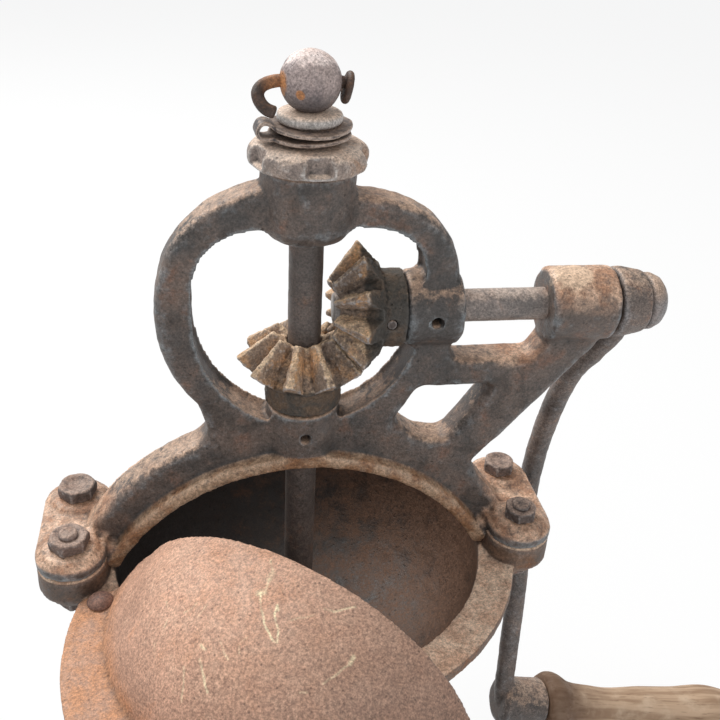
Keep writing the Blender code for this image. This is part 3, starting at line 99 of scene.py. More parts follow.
class Finish:
    """One material, built from object coordinates, so that it stays on its piece as that moves."""

    def __init__(self, name):
        self.material = bpy.data.materials.new(name)
        self.material.use_nodes = True
        self.tree = self.material.node_tree
        self.shader = self.tree.nodes["Principled BSDF"]
        self.where = self.node("ShaderNodeTexCoord").outputs

    def node(self, kind, **settings):
        made = self.tree.nodes.new(kind)
        for name, value in settings.items():
            setattr(made, name, value)
        return made

    def feed(self, socket, value):
        if isinstance(value, bpy.types.NodeSocket):
            self.tree.links.new(value, socket)
        else:
            socket.default_value = value

    def maths(self, operation, first, second=0.0):
        """One sum on two values, each a number or another node's output."""
        made = self.node("ShaderNodeMath", operation=operation)
        self.feed(made.inputs[0], first)
        self.feed(made.inputs[1], second)
        return made.outputs[0]

    def times(self, first, *others):
        for other in others:
            first = self.maths("MULTIPLY", first, other)
        return first

    def plus(self, first, *others):
        for other in others:
            first = self.maths("ADD", first, other)
        return first

    def vector(self, operation, first, second):
        """One sum on two vectors; a distance or a dot product gives a value."""
        made = self.node("ShaderNodeVectorMath", operation=operation)
        self.feed(made.inputs[0], first)
        self.feed(made.inputs[1], second)
        return made.outputs["Value" if operation in ("DISTANCE", "DOT_PRODUCT") else "Vector"]

    def stretched(self, factors):
        """Object coordinates, stretched so that a grain runs one way, or flattened by a factor of 0."""
        return self.vector("MULTIPLY", self.where["Object"], factors)

    def position(self, axis):
        """Where the surface is along an axis of the piece."""
        parts = self.node("ShaderNodeSeparateXYZ")
        self.feed(parts.inputs[0], self.where["Object"])
        return parts.outputs[axis]

    def mottle(self, size, detail=5.0, roughness=0.6, place=None, warp=0.0):
        """Cloudy variation with features of about this size, from 0 to 1."""
        made = self.node("ShaderNodeTexNoise")
        self.feed(made.inputs["Vector"], place or self.where["Object"])
        made.inputs["Scale"].default_value = 1 / size
        made.inputs["Detail"].default_value = detail
        made.inputs["Roughness"].default_value = roughness
        made.inputs["Distortion"].default_value = warp
        return made.outputs["Fac"]

    def pits(self, size, place=None):
        """Distance from scattered points this far apart: low in the middle of each pit."""
        made = self.node("ShaderNodeTexVoronoi")
        self.feed(made.inputs["Vector"], place or self.where["Object"])
        made.inputs["Scale"].default_value = 1 / size
        return made.outputs["Distance"]

    def spread(self, value, low, high, least=0.0, most=1.0):
        """Stretch a value so that low becomes least and high becomes most."""
        made = self.node("ShaderNodeMapRange", interpolation_type="SMOOTHSTEP")
        self.feed(made.inputs["Value"], value)
        made.inputs["From Min"].default_value = low
        made.inputs["From Max"].default_value = high
        made.inputs["To Min"].default_value = least
        made.inputs["To Max"].default_value = most
        return made.outputs["Result"]

    def blend(self, share, under, over, way="MIX"):
        """Lay one colour over another by a share."""
        made = self.node("ShaderNodeMix", data_type="RGBA", blend_type=way)
        self.feed(made.inputs[0], share)
        self.feed(made.inputs[6], under)
        self.feed(made.inputs[7], over)
        return made.outputs[2]

    def facing_up(self):
        """How far the surface faces up: 1 is level, 0 is upright."""
        parts = self.node("ShaderNodeSeparateXYZ")
        self.feed(parts.inputs[0], self.where["Normal"])
        return parts.outputs[2]

    def edges(self):
        """Above 0.5 on outer edges, below it in hollows."""
        return self.node("ShaderNodeNewGeometry").outputs["Pointiness"]

    def distance(self, point, place=None):
        """How far the surface is from a point of the piece."""
        return self.vector("DISTANCE", place or self.where["Object"], point)

    def near(self, point, reach):
        """1 at a point of the piece, fading to 0 at this reach."""
        return self.spread(self.distance(point), 0.0, reach, 1.0, 0.0)

    def finish(self, colour, roughness, height, depth, specular=0.5):
        """The material, with fine marks of this depth where height is 0 to 1."""
        bump = self.node("ShaderNodeBump")
        bump.inputs["Strength"].default_value = 1.0
        bump.inputs["Distance"].default_value = depth
        self.feed(bump.inputs["Height"], height)
        self.feed(self.shader.inputs["Normal"], bump.outputs["Normal"])
        self.feed(self.shader.inputs["Base Color"], colour)
        self.feed(self.shader.inputs["Roughness"], roughness)
        self.shader.inputs["Specular IOR Level"].default_value = specular
        return self.material


def iron(name, dark, brown, rust, dust_and_top_light, bare_and_sheen, rusting=0.5, dusting_and_top_light=0.5, wear=0.5, grain=0.0011,
         gloss=0.55, depth=0.00035, soot=0.5, extra=None):
    """Old cast or forged iron: brown over dark, rust in patches, dust and painted top light, bare edges and
    painted sheen.

    The five tones are from 0 to 255; the dust_and_top_light tone also stands for light from above, and the
    bare_and_sheen tone for a sheen. rusting, dusting_and_top_light, wear and soot are shares from 0 to 1,
    grain is the size of the sand's marks, and extra lays a piece's own stains over all but the painted shade
    in its hollows.
    """
    f = Finish(name)
    broad = f.mottle(0.034, 4.0, 0.55, warp=0.4)
    patch = f.mottle(0.0085, 7.0, 0.68, warp=0.3)
    crust = f.mottle(0.0030, 6.0, 0.72)
    speck = f.mottle(grain, 3.0, 0.6)
    fine = f.mottle(0.00050, 2.0, 0.5)
    holes = f.pits(grain * 2.6)
    both = f.plus(f.times(broad, 0.55), f.times(patch, 0.45))
    colour = f.blend(f.spread(both, 0.40, 0.60), tone(*dark), tone(*brown))
    rusted = f.spread(f.plus(patch, f.times(broad, 0.35)), 0.84 - 0.30 * rusting,
                      1.02 - 0.30 * rusting)
    colour = f.blend(f.times(rusted, 0.80), colour, tone(*rust))
    black = f.spread(f.mottle(0.014, 6.0, 0.65, warp=0.5), 0.50, 0.66)
    colour = f.blend(f.times(black, soot), colour, tone(46, 43, 40))
    # Painted top light: surfaces that face up take the pale dust tone, as dust lying on them and as light
    # falling from above.
    up = f.spread(f.facing_up(), 0.10, 0.90)
    lying_dust_and_light = f.spread(f.plus(crust, f.times(up, 0.50)), 1.02 - 0.34 * dusting_and_top_light,
                     1.26 - 0.34 * dusting_and_top_light)
    orange = f.blend(f.spread(patch, 0.42, 0.62), tone(*dust_and_top_light), tone(*rust))
    dusted_and_lit = f.blend(0.35, tone(*dust_and_top_light), orange)
    colour = f.blend(f.times(lying_dust_and_light, 0.30 + 0.65 * dusting_and_top_light), colour, dusted_and_lit)
    # Painted sheen: outer edges take the bare tone at the side and the dust tone on top, as wear and as a
    # painted highlight.
    rough_edge = f.plus(f.edges(), f.times(f.maths("SUBTRACT", crust, 0.5), 0.09))
    worn = f.spread(rough_edge, 0.506, 0.545)
    edge_wear_and_sheen = f.blend(up, tone(*bare_and_sheen), tone(*dust_and_top_light))
    colour = f.blend(f.times(worn, wear), colour, edge_wear_and_sheen)
    if extra:
        colour = extra(f, colour, patch, crust)
    # Painted shade: hollows are darkened as shade falls in them, and the grain then darkens the colour at
    # random.
    hollow_shade = f.spread(f.edges(), 0.452, 0.498, 0.35, 1.0)
    hollow_shade_and_grain = f.times(hollow_shade, f.spread(speck, 0.30, 0.70, 0.70, 1.24), f.spread(fine, 0.25, 0.75, 0.74, 1.26),
                    f.spread(holes, 0.05, 0.24, 0.60, 1.0))
    grey = f.node("ShaderNodeCombineColor")
    for socket in grey.inputs[:3]:
        f.feed(socket, hollow_shade_and_grain)
    colour = f.blend(1.0, colour, grey.outputs[0], "MULTIPLY")
    rough = f.spread(f.plus(f.times(patch, 0.5), f.times(speck, 0.5)),
                     0.32, 0.66, gloss - 0.12, gloss + 0.24)
    rough = f.maths("SUBTRACT", rough, f.times(worn, 0.14 * wear))
    height = f.plus(f.times(speck, 0.45), f.times(crust, 0.9), f.times(f.spread(holes, 0.0, 0.22), 0.40),
                    f.times(fine, 0.16))
    return f.finish(colour, rough, height, depth)


def mesh_of(name, points, faces):
    """A mesh whose faces all look outwards."""
    mesh = bpy.data.meshes.new(name)
    mesh.from_pydata([tuple(p) for p in points], [], faces)
    work = bmesh.new()
    work.from_mesh(mesh)
    bmesh.ops.recalc_face_normals(work, faces=work.faces)
    work.to_mesh(mesh)
    work.free()
    return mesh


def spun(profile, sides=SMALL_ROUND):
    """A solid turned about Z from a line of (radius, height): a ring, if the line is off the axis."""
    on_axis = profile[0][0] == 0 and profile[-1][0] == 0
    points = []
    rows = []
    for radius, height in profile:
        if radius == 0:
            rows.append([len(points)] * sides)
            points.append((0, 0, height))
            continue
        rows.append([len(points) + i for i in range(sides)])
        for i in range(sides):
            angle = 2 * math.pi * i / sides
            points.append((radius * math.cos(angle), radius * math.sin(angle), height))
    faces = []
    pairs = list(zip(rows, rows[1:])) if on_axis else list(zip(rows, rows[1:] + rows[:1]))
    for row, following in pairs:
        for i in range(sides):
            k = (i + 1) % sides
            corners = [row[i], row[k], following[k], following[i]]
            kept = [c for n, c in enumerate(corners) if c not in corners[:n]]
            if len(kept) > 2:
                faces.append(kept)
    return mesh_of("spun", points, faces)


def skinned(name, rows):
    """A closed solid over rings that all have as many points, with a flat face at each end."""
    around = len(rows[0])
    last = (len(rows) - 1) * around
    faces = []
    for base in range(0, last, around):
        for i in range(around):
            k = (i + 1) % around
            faces.append([base + i, base + k, base + around + k, base + around + i])
    faces.append(list(range(around)))
    faces.append([last + i for i in range(around)])
    return mesh_of(name, [point for row in rows for point in row], faces)


def slab(outline, low, high):
    """A flat piece with this outline seen from above."""
    return skinned("slab", [[(x, y, height) for x, y in outline] for height in (low, high)])


def shifted(mesh, x=0.0, y=0.0, z=0.0):
    mesh.transform(Matrix.Translation((x, y, z)))
    return mesh


def arc(cx, cy, radius, start, end, steps):
    """Points on an arc, in degrees, counter-clockwise from +X."""
    found = []
    for k in range(steps + 1):
        angle = math.radians(start + (end - start) * k / steps)
        found.append((cx + radius * math.cos(angle), cy + radius * math.sin(angle)))
    return found


def ear_outline(side, grow=0.0):
    """A lobe round two bolts, seen from above."""
    radius = EAR_RADIUS + grow
    return (arc(side * EAR_X, EAR_BOLT_SPREAD, radius, 0, 180, 24)
            + arc(side * EAR_X, -EAR_BOLT_SPREAD, radius, 180, 360, 24))


def merged(meshes):
    """One mesh from several closed shapes that may overlap."""
    work = bmesh.new()
    for mesh in meshes:
        work.from_mesh(mesh)
    result = bpy.data.meshes.new("merged")
    work.to_mesh(result)
    work.free()
    return result


def settled(thing):
    """The mesh that an object's modifiers give."""
    bpy.context.view_layer.update()
    graph = bpy.context.evaluated_depsgraph_get()
    return bpy.data.meshes.new_from_object(thing.evaluated_get(graph))


def put(name, mesh, material):
    """A finished mesh as a named piece of the mill."""
    thing = bpy.data.objects.new(name, mesh)
    bpy.context.scene.collection.objects.link(thing)
    mesh.materials.clear()
    mesh.materials.append(material)
    mesh.shade_smooth()
    return thing


def roughen(thing, swell, lump):
    """Make a surface uneven: swell is how much, and lump is the size of its waves."""
    clouds = bpy.data.textures.new("unevenness", "CLOUDS")
    clouds.noise_scale = lump
    uneven = thing.modifiers.new("uneven", "DISPLACE")
    uneven.texture = clouds
    uneven.texture_coords = "LOCAL"
    uneven.strength = swell
    uneven.mid_level = 0.5


def skin(thing, voxel, soften, swell, lump):
    """Melt a piece's shapes into one rough skin: voxel is its fineness, soften how far corners are eased."""
    melt = thing.modifiers.new("melt", "REMESH")
    melt.mode = "VOXEL"
    melt.voxel_size = voxel
    melt.use_smooth_shade = True
    ease = thing.modifiers.new("ease", "SMOOTH")
    ease.factor = 0.5
    ease.iterations = soften
    roughen(thing, swell, lump)


def frozen(thing, material):
    """The piece as its modifiers leave it, with none left on it."""
    name = thing.name
    mesh = settled(thing)
    bpy.data.objects.remove(thing, do_unlink=True)
    return put(name, mesh, material)


def cast(name, meshes, material, voxel=0.0009, soften=4, swell=0.0006, lump=0.006):
    """A piece melted together from closed shapes, as a casting is."""
    thing = put(name, merged(meshes), material)
    skin(thing, voxel, soften, swell, lump)
    return frozen(thing, material)


def fit(piece, node):
    """The piece stands for this CAD node and moves with its body."""
    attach(piece, frame["nodes"][node]["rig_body"])
    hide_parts(node)


def bowl_line(depth, mouth, throat, steps=20):
    """The bowl's curve from its mouth down to its throat."""
    line = []
    for step in range(steps + 1):
        share = math.sin(math.pi / 2 * step / steps)
        radius = throat + (mouth - throat) * (1 - share ** BOWL_ROUNDNESS) ** (1 / BOWL_ROUNDNESS)
        line.append((radius, RIM_Z - depth * share))
    return line


def bowl_shade_and_rim_light(f, colour, patch, crust):
    """The bowl's inside is painted nearly black as shade and lighter brown on the right as light, and its
    rim is tan with dust and painted top light.
    """
    height = f.position(2)
    low = f.spread(height, RIM_Z - 0.007, RIM_Z - 0.0005, 1.0, 0.0)
    across = f.distance((0, 0, 0), f.stretched((1, 1, 0)))
    inside = f.spread(across, MOUTH_RADIUS, MOUTH_RADIUS + 0.002, 1.0, 0.0)
    # Painted shade: the bowl's inside is nearly black, and lighter brown on its right as painted light.
    facing_in = f.spread(f.facing_up(), -0.05, 0.05)
    lit_right_share = f.spread(f.plus(patch, f.times(f.position(0), 4.0)), 0.40, 0.75)
    bowl_inside_shade = f.blend(lit_right_share, tone(38, 33, 31), tone(92, 66, 50))
    colour = f.blend(f.times(low, inside, facing_in, 0.95), colour, bowl_inside_shade)
    # Painted top light: the level rim is tan with dust and paler as light from above falls on it.
    level = f.spread(height, RIM_Z - 0.0020, RIM_Z - 0.0010)
    rim_dust_and_light = f.times(level, f.spread(f.facing_up(), 0.5, 0.8), f.spread(crust, 0.28, 0.52, 0.55, 0.95))
    tan = f.blend(f.spread(patch, 0.38, 0.62), tone(236, 206, 180), tone(206, 168, 142))
    return f.blend(rim_dust_and_light, colour, tan)


hopper_finish = iron("hopper_iron", dark=(92, 76, 66), brown=(126, 100, 82), rust=(138, 92, 60),
                     dust_and_top_light=(172, 140, 116), bare_and_sheen=(128, 120, 116), rusting=0.45, dusting_and_top_light=0.70, wear=0.45,
                     soot=0.25, extra=bowl_shade_and_rim_light)
outer_line = bowl_line(BOWL_DEPTH + BOWL_WALL, MOUTH_RADIUS + BOWL_WALL, THROAT_RADIUS + THROAT_WALL)
hopper_shapes = [spun([
    (RIM_RADIUS, RIM_Z), (RIM_RADIUS, RIM_Z - RIM_THICKNESS),
    *[point for point in outer_line if point[1] < RIM_Z - RIM_THICKNESS],
    (THROAT_RADIUS + THROAT_WALL, RIM_Z - NECK_DROP + NECK_FLANGE_THICKNESS),
    (NECK_FLANGE_RADIUS, RIM_Z - NECK_DROP + NECK_FLANGE_THICKNESS),
    (NECK_FLANGE_RADIUS, RIM_Z - NECK_DROP),
    (THROAT_RADIUS, RIM_Z - NECK_DROP),
    *reversed(bowl_line(BOWL_DEPTH, MOUTH_RADIUS, THROAT_RADIUS)),
], LARGE_ROUND)]
for side in (-1, 1):
    hopper_shapes.append(slab(ear_outline(side), RIM_Z + EAR_LOW, RIM_Z + EAR_SEAM))
    for y in (-EAR_BOLT_SPREAD, EAR_BOLT_SPREAD):
        pad = spun([(0, EAR_LOW + 0.002), (EAR_PAD_RADIUS, EAR_LOW + 0.002),
                    (EAR_PAD_RADIUS, -RIM_THICKNESS), (0, -RIM_THICKNESS)])
        hopper_shapes.append(shifted(pad, side * EAR_X, y, RIM_Z))
hopper = cast("hopper_casting", hopper_shapes, hopper_finish, voxel=0.0011, soften=3, swell=0.0006)
fit(hopper, "hopper")


# Yoke. A second grey iron casting, an arch bolted across the mouth on the hopper's ears.
# On the arch stands a ring round the gears, with a boss above and below for the upright spindle,
# and a bracket on the right with two bosses for the crank's shaft.

YOKE_THICKNESS = 0.0136
YOKE_EDGE = 0.0030
ARCH_CENTRE = -0.0328
ARCH_INNER = 0.0716
ARCH_OUTER = 0.0870
ARCH_FOOT = 20
LEDGE_THICKNESS = 0.0046
LEDGE_REACH = 0.0044
EAR_THICKNESS = 0.0044
EAR_PAD_HEIGHT = 0.0018
JOINT_GAP = 0.0003
AXIS_UP = 0.0938
ARM_TOP = 0.0762
ARM_LOW = 0.0662
TOP_BOSS = (0.0142, 0.1195, 0.1412)
LOW_BOSS = (0.0120, 0.0432, 0.0598)
CRANK_BOSS_RADIUS = 0.0123
INNER_BOSS_X = (0.0312, 0.0497)
OUTER_BOSS_X = (0.0791, 0.1020)
OIL_HOLE_RADIUS = 0.0016
OIL_HOLE_DEPTH = 0.0055
HUB_ROOM = 0.0133
FOOT_SWELL = (0.0668, -0.0088, 0.0056)


def upright(mesh):
    """Stand a flat piece up, so that its outline is seen from the front."""
    mesh.transform(Matrix.Rotation(math.radians(90), 4, "X"))
    return mesh


def along_x(mesh):
    """Lay a turned piece down, with its upper end towards the crank."""
    mesh.transform(Matrix.Rotation(math.radians(90), 4, "Y"))
    return mesh


def rounded(corners, steps=8):
    """An outline with each (x, y, radius) corner rounded."""
    outline = []
    for i, (x, y, radius) in enumerate(corners):
        here = Vector((x, y))
        if radius == 0:
            outline.append(tuple(here))
            continue
        back = (Vector(corners[i - 1][:2]) - here).normalized()
        ahead = (Vector(corners[(i + 1) % len(corners)][:2]) - here).normalized()
        half = back.angle(ahead) / 2
        reach = radius / math.tan(half)
        centre = here + (back + ahead).normalized() * (radius / math.sin(half))
        start = here + back * reach - centre
        sweep = start.angle_signed(here + ahead * reach - centre)
        for k in range(steps + 1):
            outline.append(tuple(centre + Matrix.Rotation(-sweep * k / steps, 2) @ start))
    return outline


def ring_outline(left, right, down, start, end, steps):
    """Part of the ring's outline: squarish above the crank, round below.

    Each side is its reach, its rise and its squareness, where 2 is an ellipse.
    """
    found = []
    for k in range(steps + 1):
        angle = math.radians(start + (end - start) * k / steps)
        across = math.cos(angle)
        height = math.sin(angle)
        reach, up, square = right if across > 0 else left
        if height > 0:
            across = math.copysign(abs(across) ** (2 / square), across)
            height = up * height ** (2 / square)
        else:
            height = down * height
        found.append((reach * across, AXIS_UP + height))
    return found


def plate(outlines, thickness, edge=0.0):
    """A flat plate with rounded edges; outlines after the first are its openings."""
    curve = bpy.data.curves.new("outline", "CURVE")
    curve.dimensions = "2D"
    curve.fill_mode = "BOTH"
    curve.extrude = thickness / 2 - edge
    curve.bevel_depth = edge
    curve.offset = -edge
    curve.bevel_resolution = 3 if edge else 0
    for outline in outlines:
        spline = curve.splines.new("POLY")
        spline.points.add(len(outline) - 1)
        for point, (x, y) in zip(spline.points, outline):
            point.co = (x, y, 0, 1)
        spline.use_cyclic_u = True
    thing = bpy.data.objects.new("outline", curve)
    bpy.context.scene.collection.objects.link(thing)
    mesh = settled(thing)
    bpy.data.objects.remove(thing, do_unlink=True)
    work = bmesh.new()
    work.from_mesh(mesh)
    bmesh.ops.remove_doubles(work, verts=work.verts, dist=1e-6)
    bmesh.ops.recalc_face_normals(work, faces=work.faces)
    work.to_mesh(mesh)
    work.free()
    return mesh


def block(low, high):
    """A box between two corners."""
    outline = [(low[0], low[1]), (high[0], low[1]), (high[0], high[1]), (low[0], high[1])]
    return slab(outline, low[2], high[2])


def sharp(points):
    """Points of an outline that rounded() leaves as they are."""
    return [(x, y, 0) for x, y in points]


def cut(mesh, tools):
    """A mesh with others cut out of it."""
    thing = put("work", mesh, None)
    helpers = []
    for tool in tools:
        helper = put("tool", tool, None)
        helpers.append(helper)
        step = thing.modifiers.new("cut", "BOOLEAN")
        step.operation = "DIFFERENCE"
        step.solver = "EXACT"
        step.object = helper
    result = settled(thing)
    for made in [thing, *helpers]:
        bpy.data.objects.remove(made, do_unlink=True)
    return result


ear_seat = EAR_SEAM + JOINT_GAP
ear_top = ear_seat + EAR_THICKNESS + EAR_PAD_HEIGHT
foot_inside = EAR_X - EAR_RADIUS - JOINT_GAP
yoke_outline = rounded([
    *sharp(arc(0, ARCH_CENTRE, ARCH_OUTER, ARCH_FOOT, 43, 12)),
    (0.0600, 0.0335, 0.0030), (0.0682, 0.0430, 0), (0.0985, 0.0805, 0.0030),
    (OUTER_BOSS_X[1] - 0.0040, AXIS_UP, 0), (OUTER_BOSS_X[0] + 0.0050, AXIS_UP, 0),
    (OUTER_BOSS_X[0] + 0.0015, AXIS_UP - CRANK_BOSS_RADIUS + 0.0020, 0),
    (OUTER_BOSS_X[0] - 0.0030, ARM_TOP, 0.0035), (0.0493, ARM_TOP, 0.0040),
    *sharp(ring_outline((0.0465, 0.0430, 2.25), (0.0488, 0.0400, 2.9), 0.0470, -14, 222, 84)),
    (-0.0310, 0.0512, 0.0050),
    *sharp(arc(0, ARCH_CENTRE, ARCH_OUTER, 114, 180 - ARCH_FOOT, 24)),
    *sharp(arc(0, ARCH_CENTRE, ARCH_INNER, 180 - ARCH_FOOT, ARCH_FOOT, 60)),
])
ring_hole = ring_outline((0.0366, 0.0316, 3.2), (0.0384, 0.0316, 4.0), 0.0410, 0, 355.5, 79)
window = rounded([
    (0.0380, ARM_LOW, 0.0040), (0.0305, 0.0530, 0.0030), (0.0400, 0.0455, 0.0040),
    (0.0495, 0.0438, 0.0050), (0.0645, ARM_LOW, 0.0020),
])
foot_reach = YOKE_THICKNESS / 2 + LEDGE_REACH + 0.001
foot_cuts = [block((-0.1, -foot_reach, -0.03), (0.1, foot_reach, JOINT_GAP)),
             block((foot_inside, -foot_reach, -0.03), (0.1, foot_reach, ear_seat)),
             block((-0.1, -foot_reach, -0.03), (-foot_inside, foot_reach, ear_seat))]
yoke_plate = upright(plate([yoke_outline, ring_hole, window], YOKE_THICKNESS, YOKE_EDGE))
yoke_plate = cut(yoke_plate, foot_cuts)
ledge_outline = (arc(0, ARCH_CENTRE, ARCH_INNER + LEDGE_THICKNESS, ARCH_FOOT, 180 - ARCH_FOOT, 60)
                 + arc(0, ARCH_CENTRE, ARCH_INNER, 180 - ARCH_FOOT, ARCH_FOOT, 60))
ledge_depth = LEDGE_REACH + YOKE_EDGE + 0.001
ledge = upright(plate([ledge_outline], ledge_depth))
shifted(ledge, y=-(YOKE_THICKNESS / 2 + LEDGE_REACH - ledge_depth / 2))
ledge = cut(ledge, foot_cuts)
radius, low, high = TOP_BOSS
top_boss = spun([(0, high), (radius - 0.0008, high), (radius, high - 0.0008), (radius, low + 0.004),
                 (radius - 0.003, low), (0, low)], 96)
radius, low, high = LOW_BOSS
low_boss = spun([(0, high), (radius, high), (radius, low), (0, low)], 96)
yoke_shapes = [yoke_plate, ledge, top_boss, low_boss]
for low, high in (INNER_BOSS_X, OUTER_BOSS_X):
    radius = CRANK_BOSS_RADIUS
    boss = along_x(spun([(0, high), (radius - 0.0012, high), (radius, high - 0.0012),
                         (radius, low + 0.0012), (radius - 0.0012, low), (0, low)], 96))
    yoke_shapes.append(shifted(boss, z=AXIS_UP))
for side in (-1, 1):
    yoke_shapes.append(slab(ear_outline(side), ear_seat, ear_seat + EAR_THICKNESS))
    for y in (-EAR_BOLT_SPREAD, EAR_BOLT_SPREAD):
        pad = spun([(0, ear_top), (EAR_PAD_RADIUS, ear_top), (EAR_PAD_RADIUS, ear_seat + 0.002),
                    (0, ear_seat + 0.002)])
        yoke_shapes.append(shifted(pad, side * EAR_X, y))
    foot_swell = spun([(0, 0.0048), (0.0022, 0.0042), (0.0036, 0.0026), (0.0042, 0), (0.0036, -0.0026),
                       (0.0022, -0.0042), (0, -0.0048)], 32)
    yoke_shapes.append(shifted(foot_swell, side * FOOT_SWELL[0], FOOT_SWELL[1], FOOT_SWELL[2]))
for shape in yoke_shapes:
    shifted(shape, z=RIM_Z)


def yoke_marks(f, colour, patch, crust):
    """The arch's ledge is painted tan as light from above, mottled like dust, tan dust lies round the bolts,
    and the outer crank boss is rubbed pale.
    """
    ledge_end = ARCH_INNER + LEDGE_THICKNESS
    away = f.distance((0, 0, RIM_Z + ARCH_CENTRE), f.stretched((1, 0, 1)))
    on_ledge = f.spread(away, ledge_end, ledge_end + 0.0012, 1.0, 0.0)
    in_front = f.spread(f.position(1), -0.0076, -0.0066, 1.0, 0.0)
    # Painted top light: the ledge is tan as light falling on it from above, varied like dust.
    tan = f.blend(f.spread(patch, 0.40, 0.62), tone(196, 164, 136), tone(158, 116, 84))
    share = f.times(on_ledge, in_front, f.spread(crust, 0.30, 0.50, 0.45, 0.95))
    colour = f.blend(share, colour, tan)
    beside_bolts = f.spread(f.maths("ABSOLUTE", f.position(0)), 0.0625, 0.0680)
    top = f.spread(f.facing_up(), 0.0, 0.7)
    orange = f.blend(f.spread(patch, 0.38, 0.60), tone(226, 188, 160), tone(172, 128, 100))
    share = f.times(beside_bolts, top, f.spread(crust, 0.32, 0.58, 0.25, 0.9))
    colour = f.blend(share, colour, orange)
    spot = f.near((0.086, -0.003, RIM_Z + AXIS_UP + CRANK_BOSS_RADIUS), 0.015)
    rubbed = f.spread(f.plus(crust, spot), 0.92, 1.22)
    return f.blend(f.times(rubbed, 0.80), colour, tone(226, 196, 168))


yoke_finish = iron("yoke_iron", dark=(76, 72, 70), brown=(112, 98, 90), rust=(128, 96, 80),
                   dust_and_top_light=(208, 174, 148), bare_and_sheen=(136, 142, 146), rusting=0.38, dusting_and_top_light=0.66, wear=0.75,
                   gloss=0.44, soot=0.50, extra=yoke_marks)
yoke = cast("yoke_casting", yoke_shapes, yoke_finish, voxel=0.0009, soften=5, swell=0.0007)

# The gears' hubs turn against two of its bosses, so those faces are flat again after the melt.
for vertex in yoke.data.vertices:
    x, y, z = vertex.co
    if math.hypot(x, y) < HUB_ROOM and 0 < z - RIM_Z - LOW_BOSS[2] < 0.004:
        vertex.co.z = RIM_Z + LOW_BOSS[2]
    if math.hypot(y, z - RIM_Z - AXIS_UP) < HUB_ROOM and 0 < INNER_BOSS_X[0] - x < 0.004:
        vertex.co.x = INNER_BOSS_X[0]

# The oil holes are drilled last, at the front of the low boss and of the inner crank boss.
oil_holes = []
mouth_out = CRANK_BOSS_RADIUS - 0.0002
for x, z in ((0.0, sum(LOW_BOSS[1:]) / 2), (sum(INNER_BOSS_X) / 2, AXIS_UP)):
    hole = upright(spun([
        (0, 0.020), (OIL_HOLE_RADIUS + 0.0006, 0.020), (OIL_HOLE_RADIUS + 0.0006, mouth_out),
        (OIL_HOLE_RADIUS, mouth_out - 0.0013), (OIL_HOLE_RADIUS, mouth_out + 0.0006 - OIL_HOLE_DEPTH),
        (0, mouth_out - OIL_HOLE_DEPTH),
    ], 24))
    oil_holes.append(shifted(hole, x, 0, RIM_Z + z))
drilled = cut(yoke.data, oil_holes)
bpy.data.objects.remove(yoke, do_unlink=True)
yoke = put("yoke_casting", drilled, yoke_finish)
fit(yoke, "yoke")


# Ear bolts and nuts. Four forged hex bolts hold the yoke on the hopper: the rear pair from above,
# with a dished head, and the front pair from below, with the nut and the thread's end on top.
# They are brown with dry rust, and rounded at their corners.

BOLT_RADIUS = 0.0032
BOLT_FLATS = {"left": 0.0120, "right": 0.0106}
BOLT_HEAD_HEIGHT = 0.0044
NUT_HEIGHT = 0.0042
THREAD_END = 0.0014
HEX_TURN = {"left": 17, "right": 8}
EAR_UNDER = -RIM_THICKNESS - JOINT_GAP


def hexed(rows, flats, turn, sides=72):
    """A six-sided solid of (limit, height) rows: the hexagon, held to the limit where it is turned down."""
    rings = []
    for limit, height in rows:
        ring = []
        for i in range(sides):
            angle = 2 * math.pi * i / sides
            off = (angle + math.radians(30)) % math.radians(60) - math.radians(30)
            radius = min(flats / 2 / math.cos(off), limit)
            ring.append((radius * math.cos(angle + turn), radius * math.sin(angle + turn), height))
        rings.append(ring)
    return skinned("hexed", rings)


def hex_block(flats, low, height, turn, dish=0.0):
    """A bolt head or nut with its top corners turned down, and a dish in it where one is given."""
    corner = flats / math.sqrt(3)
    top = low + height
    rows = [(corner * 0.97, low), (corner, low + 0.0004), (corner, top - 0.0014),
            (flats / 2 * 1.02, top - 0.0004), (flats / 2 * 0.94, top)]
    if dish:
        rows += [(flats / 2 * 0.70, top - 0.0001), (flats / 2 * 0.55, top - dish * 0.7),
                 (flats / 2 * 0.25, top - dish)]
    return hexed(rows, flats, turn)


def shank(radius, low, high):
    """A bolt's round shank with a turned end."""
    return spun([(0, high), (radius - 0.0007, high), (radius, high - 0.0006), (radius, low + 0.0006),
                 (radius - 0.0007, low), (0, low)])


